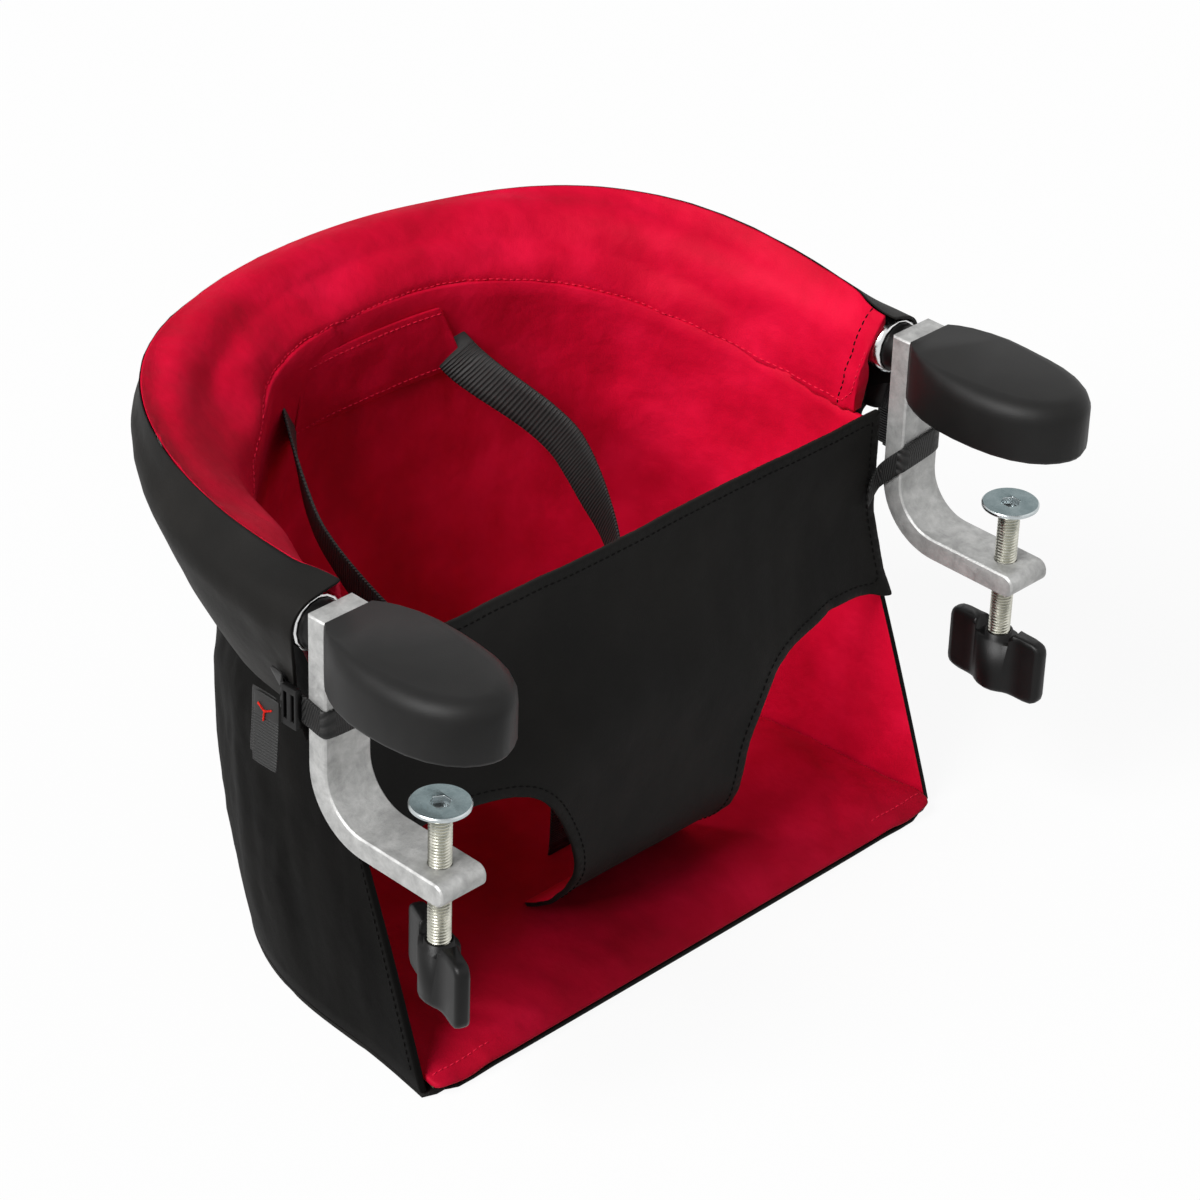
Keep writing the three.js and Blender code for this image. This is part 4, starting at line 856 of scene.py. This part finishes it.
def buildRimPad():
    piece = copiedNode("rim_pad", "rim_pad_cushion")
    tube, cover = (surfaceOf(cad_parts[node]) for node in ("frame_tube", "rim_cover"))
    walls = surfaceOf(podWalls)

    def held(place):
        return any(surface.find_nearest(place, rimLook[reach])[0] is not None for surface, reach in (
            (tube, "heldByTube"), (cover, "heldByCover"), (walls, "heldByWalls")))

    def endShift(place, normal):
        back = rimLook["endBack"] * (1 - smoothStep(*rimLook["endFade"], place.y)) * (1 if place.x > 0 else 0.3)
        return sideSag(place) + Vector((0, back, 0))

    creaseSharpEdges(piece, 60, 0.5)
    refined(piece, rimLook["levels"])
    moveVertices(piece, endShift)
    blownUp(piece, rimLook, held)
    # the face is evened out between its held edges
    addGroup(piece, "face", lambda place: all(
        surface.find_nearest(place, rimLook["freeFrom"])[0] is None for surface in (cover, walls)))
    modified(piece, "easing", "SMOOTH", vertex_group="face", factor=0.6, iterations=14)
    finishModifiers(piece)
    piece.vertex_groups.clear()
    surface, steps = surfaceOf(piece), rimLook["seamSteps"]
    seam = [lowestOnPad(surface, walls, rimLook["seamFrom"] + rimLook["seamSpan"] * step / steps)
            for step in range(steps + 1)]
    seam = [spot for spot in seam if spot is not None]
    line = treeOf(seam)

    def settle(place, normal):
        # puckers run off the seam, and its lip lies on the walls
        distance = line.find(place)[2]
        free = smoothStep(*rimLook["coverFade"], cover.find_nearest(place)[3])
        coarse = waves(place.x * 38, place.y * 38, place.z * 42)
        fine = waves(place.x * 110, place.y * 110, place.z * 120)
        push = free * rimLook["crinkleDepth"] * (coarse + 0.35 * fine)
        near = 1 - smoothStep(0, rimLook["puckerReach"], distance)
        push += rimLook["puckerDepth"] * near * waves(aroundSeat(place) * 95, place.z * 14, 6.2)
        lip = 1 - smoothStep(0, rimLook["lipReach"], distance)
        return normal * push - Vector((0, 0, rimLook["seamOverlap"] * lip))

    moveVertices(piece, settle)
    shadeSmooth(piece)
    piece.data.materials.append(redCloth)
    handOver(piece, "seat", "red_fabric", "rim_pad")
    return piece, seam


def tuckWalls(seam):
    # the walls come forward to the pad's lip all along the seam
    walls, pulls = surfaceOf(podWalls), []
    for spot in seam:
        start, way = castOutwards(aroundSeat(spot), spot.z - 0.001)
        wall = walls.ray_cast(start, way)[3]
        gap = wall - (spot - start).dot(way) if wall is not None else 0
        pulls.append(way * min(max(gap - rimLook["lipThickness"], 0), rimLook["tuckLimit"]))
    line = treeOf(seam)

    def forward(place, normal):
        around = line.find_n(place, rimLook["tuckNeighbours"])
        reach = around[0][2]
        if reach > rimLook["tuckReach"][1]:
            return Vector()
        weights = [1 / (gap + 0.002) for co, index, gap in around]
        shift = sum((pulls[index] * weight for (co, index, gap), weight in zip(around, weights)), Vector())
        under = 1 - smoothStep(*rimLook["tuckReach"], reach)
        under *= smoothStep(*rimLook["tuckEdge"], place.y - frontEdgeAt(place.z))
        return (Vector((0, 0, rimLook["wallUp"])) - shift / sum(weights)) * under

    moveVertices(podWalls, forward)


rimPad, seamLine = buildRimPad()
tuckWalls(seamLine)
print("rim pad ready")

endStitchLook = {"top": 0.2385, "drop": 0.0018, "steps": 28, "front": -0.062, "inset": 0.0085, "aboveSeam": 0.0032}


def padStitches():
    # one row along the seam, one down each open end of the sleeve
    surface, walls = surfaceOf(rimPad), surfaceOf(podWalls)
    raised = [spot + Vector((0, 0, endStitchLook["aboveSeam"])) for spot in seamLine]
    alongSeam = landings(surface, [castOutwards(aroundSeat(spot), spot.z) for spot in raised])
    stitchRow("rim_seam_stitches", [alongSeam], surface, seamStitchLook, redThread, "red_fabric")
    ends = []
    for side in (-1, 1):
        row, way = [], Vector((side, 0, 0))
        for step in range(endStitchLook["steps"]):
            height = endStitchLook["top"] - step * endStitchLook["drop"]
            starts = (Vector((side * 0.02, endStitchLook["front"] + back * 0.001, height)) for back in range(40))
            edge = next((start for start in starts if surface.ray_cast(start, way)[0] is not None), None)
            if edge is not None:
                start = edge + Vector((0, endStitchLook["inset"], 0))
                hit = surface.ray_cast(start, way)
                if hit[0] is not None and hit[3] < rayLength(walls, start, way):
                    row.append(hit[:2])
        if len(row) > 3:
            ends.append(row)
    stitchRow("rim_end_stitches", ends, surface, stitchLook, blackThread, "black_webbing")


padStitches()


# outer cover of the rim
coverLook = {
    "levels": 2, "cutBackRight": 0.026, "cutBackLeft": 0.004, "cutFrom": 0.207, "cutTo": 0.172,
    "cutFade": (-0.056, -0.006), "foldDepth": 0.0011, "crinkleDepth": 0.0005, "hangFade": (0.2, 0.235),
}


def towardsSeat(place, normal):
    return normal.x * place.x + normal.y * (place.y - 0.02) < 0 and place.z < 0.2 and place.y > -0.02


def coverShift(place, normal):
    # the free end is cut back below the tube, and the cloth hangs in soft folds
    back = coverLook["cutBackRight" if place.x > 0 else "cutBackLeft"]
    back *= 1 - smoothStep(*coverLook["cutFade"], place.y)
    back *= 1 - smoothStep(coverLook["cutTo"], coverLook["cutFrom"], place.z)
    out = Vector((place.x, place.y, 0)).normalized()
    hanging = 1 - smoothStep(*coverLook["hangFade"], place.z)
    around = aroundSeat(place)
    push = coverLook["foldDepth"] * hanging * waves(around * 30, place.z * 9, 4.4)
    push += coverLook["crinkleDepth"] * waves(around * 90, place.z * 55, 8.1)
    return Vector((0, back, 0)) + out * push


def buildRimCover():
    piece = copiedNode("rim_cover", "rim_cover_cloth")
    creaseSharpEdges(piece, 50, 0.8)
    refined(piece, coverLook["levels"])
    moveVertices(piece, coverShift)
    # painted light: the outside takes the lighter copy of the black cloth, and the side towards the seat is the red
    # lining
    paintByFace(piece, [coverBlackCloth, redCloth], lambda place, normal: 1 if towardsSeat(place, normal) else 0)
    handOver(piece, "seat", "black_fabric", "rim_cover")
    return piece


rimCover = buildRimCover()
print("rim cover ready")


# base
baseLook = {
    "voxel": 0.0045, "stretch": 4, "pressure": 4, "slack": -0.01, "cap": 0.0045, "frames": 20, "rim": 0.009,
    "frontRim": 0.4, "frontFrom": -0.08, "crinkleDepth": 0.0007,
    "lipFrom": -0.0985, "lipForward": 0.0036, "lipDrop": 0.0032,
    "cornerFrom": 0.118, "cornerWave": 0.0012, "cornerTurns": 210, "seamInset": 0.0035,
    "stitchFrom": 0.124, "stitchStep": 0.0014, "stitchSteps": 24,
}
pipingLook = {
    "inwards": 0.008, "back": 0.0006, "cornerBack": 0.0034, "cornerFade": (0.146, 0.160), "flatten": 0.3,
    "curl": 0.0006, "curlFade": (0.118, 0.138),
}
boardLook = {"narrower": 0.02, "shorter": 0.025, "middleY": -0.004}


def buildBasePad():
    piece = copiedNode("base_pad", "base_pad_cushion")
    low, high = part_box("base_pad")
    outline = surfaceOf(piece)
    middle = (low[2] + high[2]) / 2
    eightWays = [Vector((math.cos(angle), math.sin(angle), 0))
                 for angle in (0, 0.785, 1.571, 2.356, 3.142, 3.927, 4.712, 5.498)]

    def insideRim(place):
        start = Vector((place.x, place.y, middle))
        rim = baseLook["rim"] * (baseLook["frontRim"] if place.y < baseLook["frontFrom"] else 1)
        return place.z > middle and min(rayLength(outline, start, way) for way in eightWays) > rim

    # the voxels are a quarter as tall as wide, because the pad is stretched for the remesh
    for vertex in piece.data.vertices:
        vertex.co.z = middle + (vertex.co.z - middle) * baseLook["stretch"]
    modified(piece, "evenGrid", "REMESH", mode="VOXEL", voxel_size=baseLook["voxel"])
    finishModifiers(piece)
    for vertex in piece.data.vertices:
        vertex.co.z = middle + (vertex.co.z - middle) / baseLook["stretch"]
    blownUp(piece, baseLook, lambda place: not insideRim(place))

    def settle(place, normal):
        crinkle = baseLook["crinkleDepth"] if normal.z > 0.3 else 0
        shift = normal * crinkle * waves(place.x * 30, place.y * 30, 1.1)
        lip = 1 - smoothStep(low[1] - 0.001, baseLook["lipFrom"], place.y)
        shift.y -= baseLook["lipForward"] * lip
        shift.z -= baseLook["lipDrop"] * lip
        past = abs(place.x) - baseLook["cornerFrom"]
        corner = smoothStep(baseLook["cornerFrom"], baseLook["cornerFrom"] + 0.02, abs(place.x)) * lip
        shift.z += baseLook["cornerWave"] * corner * math.sin(past * baseLook["cornerTurns"])
        return shift

    moveVertices(piece, settle)
    refined(piece, 1)
    shadeSmooth(piece)
    # painted shade: the base pad takes the darker copy of the red cloth
    piece.data.materials.append(deepRedCloth)
    handOver(piece, "seat", "red_fabric", "base_pad")
    surface, depth = surfaceOf(piece), low[1] + baseLook["seamInset"]
    places = [baseLook["stitchFrom"] + step * baseLook["stitchStep"] for step in range(baseLook["stitchSteps"])]
    rows = [landings(surface, [((side * place, depth, 0.03), (0, 0, -1)) for place in places]) for side in (-1, 1)]
    stitchRow("base_corner_stitches", rows, surface, seamStitchLook, redThread, "red_fabric")


def pipingShift(place, normal):
    # the cord follows the pad's lip and curls at the base's corners
    aside = abs(place.x)
    back = pipingLook["cornerBack"] * smoothStep(*pipingLook["cornerFade"], aside) + pipingLook["back"]
    curl = pipingLook["curl"] * math.sin(aside * baseLook["cornerTurns"]) * smoothStep(*pipingLook["curlFade"], aside)
    return Vector((-place.x * pipingLook["inwards"], back, -place.z * pipingLook["flatten"] + curl))


def buildBaseCover():
    cover = copiedNode("base_cover", "base_cover_cloth")
    creaseSharpEdges(cover, 50, 0.9)
    refined(cover, 2)
    cover.data.materials.append(blackCloth)
    handOver(cover, "seat", "black_fabric", "base_cover")
    piping = copiedNode("front_piping", "front_piping_cord")
    refined(piping, 3)
    moveVertices(piping, pipingShift)
    piping.data.materials.append(blackCloth)
    handOver(piping, "seat", "black_fabric", "front_piping")
    # the board is a little smaller than its solid, so that the cover hides it
    board = copiedNode("seat_board", "seat_board_sheet")
    moveVertices(board, lambda place, normal: Vector((
        -place.x * boardLook["narrower"], (boardLook["middleY"] - place.y) * boardLook["shorter"], 0)))
    board.data.materials.append(fibreBoard)
    shadeSmooth(board, False)
    handOver(board, "seat", "board", "seat_board")
    return cover


buildBasePad()
baseCover = buildBaseCover()
print("base ready")


# straps and patch
strapLook = {
    # how far a belt's end goes under the patch: inwards, back and up
    "underPatch": (0.014, 0.0146, 0.0045), "easeOver": 0.055,
    # how far the second layer of a tail lies to the side, back and up
    "layerShift": (0.0008, 0.0032, 0.0024), "layerShare": 0.42,
    "loopStays": -0.052, "loopFollows": -0.071, "startReach": 0.0105,
}


def markLength(piece, start):
    # "along" is how far a point lies from the strap's start, measured on the mesh
    shape = bmesh.new()
    shape.from_mesh(piece.data)
    shape.verts.ensure_lookup_table()
    nearest = min((vertex.co - start).length for vertex in shape.verts)
    reach = [math.inf] * len(shape.verts)
    queue = []
    for vertex in shape.verts:
        if (vertex.co - start).length < nearest + strapLook["startReach"]:
            reach[vertex.index] = 0
            heapq.heappush(queue, (0, vertex.index))
    while queue:
        far, index = heapq.heappop(queue)
        if far > reach[index]:
            continue
        for edge in shape.verts[index].link_edges:
            other = edge.other_vert(shape.verts[index])
            total = far + edge.calc_length()
            if total < reach[other.index] - 1e-9:
                reach[other.index] = total
                heapq.heappush(queue, (total, other.index))
    shape.free()
    attribute = piece.data.attributes.new("along", "FLOAT", "POINT")
    attribute.data.foreach_set("value", [0 if value == math.inf else value for value in reach])


def tuckUnderPatch(piece, side):
    inwards, back, up = strapLook["underPatch"]
    push = Vector((-side * inwards, back, up))
    shares = [1 - smoothStep(0, strapLook["easeOver"], value.value) for value in piece.data.attributes["along"].data]
    for vertex, share in zip(piece.data.vertices, shares):
        vertex.co += push * share


def doubleTail(piece, node, side):
    # the end of the strap comes back double
    low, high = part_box(node)
    middle = (low[0] + high[0]) / 2
    aside, back, up = strapLook["layerShift"]
    moveVertices(piece, lambda place, normal: Vector((
        (middle - place.x) * (1 - strapLook["layerShare"]) + side * aside, 0, 0)))
    with editing(piece.data) as layers:
        second = bmesh.ops.duplicate(layers, geom=layers.verts[:] + layers.edges[:] + layers.faces[:])["geom"]
        for part in second:
            if isinstance(part, bmesh.types.BMVert):
                part.co += Vector((-side * 2 * aside, back, 0))
                part.co.z += up * (1 - smoothStep(low[2], high[2], part.co.z))


def buildStrap(node, start):
    piece = copiedNode(node, node + "_webbing")
    side = math.copysign(1, start[0])
    markLength(piece, Vector(start))
    creaseSharpEdges(piece, 50, 0.9)
    refined(piece, 2)
    if node.endswith("_belt"):
        tuckUnderPatch(piece, side)
    if node.endswith("_tail"):
        doubleTail(piece, node, side)
    piece.data.materials.append(ribbedWebbing)
    if node.endswith("_post_strap"):
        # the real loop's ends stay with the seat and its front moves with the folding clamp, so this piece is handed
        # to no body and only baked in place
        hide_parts(node)
        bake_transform(piece)
    else:
        handOver(piece, "seat", "black_webbing", node)
    return piece


strapStarts = {
    "left_belt": (-0.0580, 0.0980, 0.2075), "right_belt": (0.0580, 0.0980, 0.2075),
    "left_post_strap": (-0.154, -0.0337, 0.188), "right_post_strap": (0.154, -0.0337, 0.188),
    "left_strap_tail": (-0.1926, -0.0415, 0.1885), "right_strap_tail": (0.1926, -0.0415, 0.1885),
    "crotch_strap": (0, -0.0059, 0.0102),
}
straps = {node: buildStrap(node, start) for node, start in strapStarts.items()}


guideLook = {
    "bulge": 0.0022, "bulgeReach": 0.012, "belly": 0.0008, "away": (-0.3, -0.1),
    "edge": 0.007, "seam": 0.0028, "seamStep": 0.00205,
}


def buildGuide():
    # the patch lies flat between its seams and stands off the wall where the belts come out at its ends
    piece = copiedNode("strap_guide", "strap_guide_patch")
    low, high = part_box("strap_guide")
    rise, fall = (low[2], low[2] + guideLook["edge"]), (high[2] - guideLook["edge"], high[2])
    creaseSharpEdges(piece, 50, 0.8)
    refined(piece, 3)

    def shift(place, normal):
        atEnd = smoothStep(high[0] - guideLook["bulgeReach"], high[0], abs(place.x))
        away = Vector((place.x * guideLook["away"][0], guideLook["away"][1], 0)).normalized()
        push = guideLook["bulge"] * atEnd
        push += guideLook["belly"] * (1 + waves(place.x * 60, 2.2, place.z * 60)) * (1 - atEnd)
        return away * push * hump(rise, fall, place.z)

    moveVertices(piece, shift)
    piece.data.materials.append(redCloth)
    handOver(piece, "seat", "red_fabric", "strap_guide")
    surface = surfaceOf(piece)
    rows = [landings(surface, [((step * guideLook["seamStep"], 0, height), (0, 1, 0)) for step in range(-26, 27)])
            for height in (high[2] - guideLook["seam"], low[2] + guideLook["seam"])]
    stitchRow("strap_guide_stitches", rows, surface, seamStitchLook, redThread, "red_fabric")
    return piece


strapGuide = buildGuide()

tackLook = {
    # the ends of its strokes, back and up from the centre
    "strokes": ((0.0006, -0.0042), (-0.0042, 0.0022), (0.0036, 0.0024)),
    "centre": (-0.0415, 0.1805), "radius": 0.00048, "length": 0.0016, "pitch": 0.0006,
}


def buildTacks():
    # a forked bartack holds the two layers of each tail together
    y, z = tackLook["centre"]
    for side, word in ((-1, "left"), (1, "right")):
        surface, rows = surfaceOf(straps[word + "_strap_tail"]), []
        for back, up in tackLook["strokes"]:
            spots = [Vector((y, z)).lerp(Vector((y + back, z + up)), step / 12) for step in range(13)]
            rows.append(landings(surface, [((side * 0.3, *spot), (-side, 0, 0)) for spot in spots]))
        stitchRow(word + "_tail_tack", rows, surface, tackLook, tackThread, "red_fabric")


buildTacks()
print("straps ready")


# clamp screws
screwLook = {
    # radius and height of each ring of the head and core, in millimetres below the top
    "rings": [(12.5, 0), (13.05, 0.5), (13.05, 1.6), (12.5, 2.1), (9.0, 2.2), (5.3, 5.2), (4.25, 5.8)],
    "coreRadius": 4.25, "tipRadius": 3.8, "tipHeight": 0.5, "hexAcross": 8.0, "hexDepth": 3.4, "hexEdge": 0.35,
    "pitch": 1.5, "crest": 5.05, "root": 4.2, "threadFrom": 5.6, "faceAbove": 0.4, "plateAbove": 5.7, "segments": 64,
}


def standingRings(name, sides, steps):
    # a filled circle pulled down ring by ring
    clearSelection()
    bpy.ops.mesh.primitive_circle_add(
        vertices=sides, radius=steps[0][0] * millimetre, fill_type="NGON", location=(0, 0, 0))
    piece = bpy.context.object
    piece.name = name
    bpy.ops.object.mode_set(mode="EDIT")
    bpy.ops.mesh.select_all(action="SELECT")
    for (radius, depth), (nextRadius, nextDepth) in zip(steps, steps[1:]):
        bpy.ops.mesh.extrude_region_move(TRANSFORM_OT_translate={"value": (0, 0, (depth - nextDepth) * millimetre)})
        share = nextRadius / radius
        bpy.ops.transform.resize(value=(share, share, 1), center_override=(0, 0, 0))
    bpy.ops.mesh.select_all(action="SELECT")
    bpy.ops.mesh.normals_make_consistent(inside=False)
    bpy.ops.object.mode_set(mode="OBJECT")
    return piece


def turnedThread(name, fromDepth, toDepth):
    # one ridge of the thread, wound down the shaft with the Screw modifier
    root, crest, pitch = (screwLook[word] * millimetre for word in ("root", "crest", "pitch"))
    ridge = [(root, 0, 0), (crest, 0, pitch * 0.42), (crest, 0, pitch * 0.58), (root, 0, pitch)]
    mesh = bpy.data.meshes.new(name)
    mesh.from_pydata(ridge, [(0, 1), (1, 2), (2, 3)], [])
    piece = addObject(name, mesh)
    modified(piece, "winding", "SCREW", angle=2 * math.pi, screw_offset=pitch, steps=32, render_steps=32,
             iterations=int((toDepth - fromDepth) * millimetre / pitch), use_smooth_shade=True)
    finishModifiers(piece)
    moveVertices(piece, lambda place, normal: Vector((0, 0, -toDepth * millimetre)))
    makeActive(piece)
    bpy.ops.object.mode_set(mode="EDIT")
    bpy.ops.mesh.select_all(action="SELECT")
    bpy.ops.mesh.remove_doubles(threshold=0.00001)
    bpy.ops.mesh.normals_make_consistent(inside=False)
    bpy.ops.object.mode_set(mode="OBJECT")
    if sum(face.normal.x * face.center.x + face.normal.y * face.center.y for face in piece.data.polygons) < 0:
        piece.data.flip_normals()
    return piece


def screwTone(place, normal):
    # painted reflection: the flat top of the head takes the darker zinc
    if normal.z > 0.9 and place.z > -screwLook["faceAbove"] * millimetre:
        return 0
    return 1 if place.z > -screwLook["plateAbove"] * millimetre else 2


def buildScrews():
    low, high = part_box("left_clamp_screw")
    length = (high[2] - low[2]) / millimetre
    core = [(screwLook["coreRadius"], length - screwLook["tipHeight"]), (screwLook["tipRadius"], length)]
    head = standingRings("left_screw_threaded", screwLook["segments"], screwLook["rings"] + core)
    across = screwLook["hexAcross"] / math.sqrt(3)
    cutter = standingRings("hex_cutter", 6, [(across, -1), (across, screwLook["hexDepth"])])
    moveVertices(cutter, lambda place, normal: Vector((0, 0, millimetre)))
    modified(head, "recess", "BOOLEAN", object=cutter, operation="DIFFERENCE", solver="EXACT")
    modified(head, "rounding", "BEVEL", width=screwLook["hexEdge"] * millimetre, segments=2,
             limit_method="ANGLE", angle_limit=math.radians(50))
    finishModifiers(head)
    bpy.data.objects.remove(cutter)
    tones = [zincFace, zincPlate, threadedSteel]
    paintByFace(head, tones, screwTone)
    thread = turnedThread("thread_part", screwLook["threadFrom"], length - 1)
    paintByFace(thread, tones, lambda place, normal: 2)
    clearSelection()
    thread.select_set(True)
    head.select_set(True)
    bpy.context.view_layer.objects.active = head
    bpy.ops.object.join()
    bpy.ops.object.shade_smooth_by_angle(angle=math.radians(35))
    finishModifiers(head)
    middle = Vector(((low[0] + high[0]) / 2, (low[1] + high[1]) / 2, high[2]))
    moveVertices(head, lambda place, normal: middle)
    twin = addObject("right_screw_threaded", head.data.copy())
    moveVertices(twin, lambda place, normal: Vector((-2 * middle.x, 0, 0)))
    handOver(head, "left_screw", "zinc_steel", "left_clamp_screw")
    handOver(twin, "right_screw", "zinc_steel", "right_clamp_screw")


buildScrews()
print("screws ready")


# hardware that keeps its CAD shape: material, width of the rounded edges in millimetres, and their segments
hardwareLook = {
    "frame_tube": (polishedTube, 0, 1), "end_bush": (blackNylon, 0.3, 2), "tube_rivet": (zincPlate, 0.3, 2),
    "bracket": (castAluminium, 0.8, 2), "pivot_pin": (zincPlate, 0.3, 2), "grip": (softRubber, 0, 1),
    "knob": (blackNylon, 0, 1), "strap_slider": (blackNylon, 0.4, 2), "belt_tongue": (blackNylon, 0.4, 2),
    "buckle_housing": (blackNylon, 0.6, 2), "buckle_button": (redNylon, 0.5, 2),
}


def dressNode(name, node):
    word = name.replace("left_", "").replace("right_", "")
    if word not in hardwareLook:
        return
    material, edge, segments = hardwareLook[word]
    for slotOfNode in node.material_slots:
        slotOfNode.material = material
    modified(node, "joined", "WELD", merge_threshold=0.00002)
    if edge:
        modified(node, "edges", "BEVEL", width=edge * millimetre, segments=segments,
                 limit_method="ANGLE", angle_limit=math.radians(35))
    shadeSmooth(node)
    makeActive(node)
    bpy.ops.object.shade_smooth_by_angle(angle=math.radians(32))


for nodeName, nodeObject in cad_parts.items():
    dressNode(nodeName, nodeObject)
print("hardware ready")
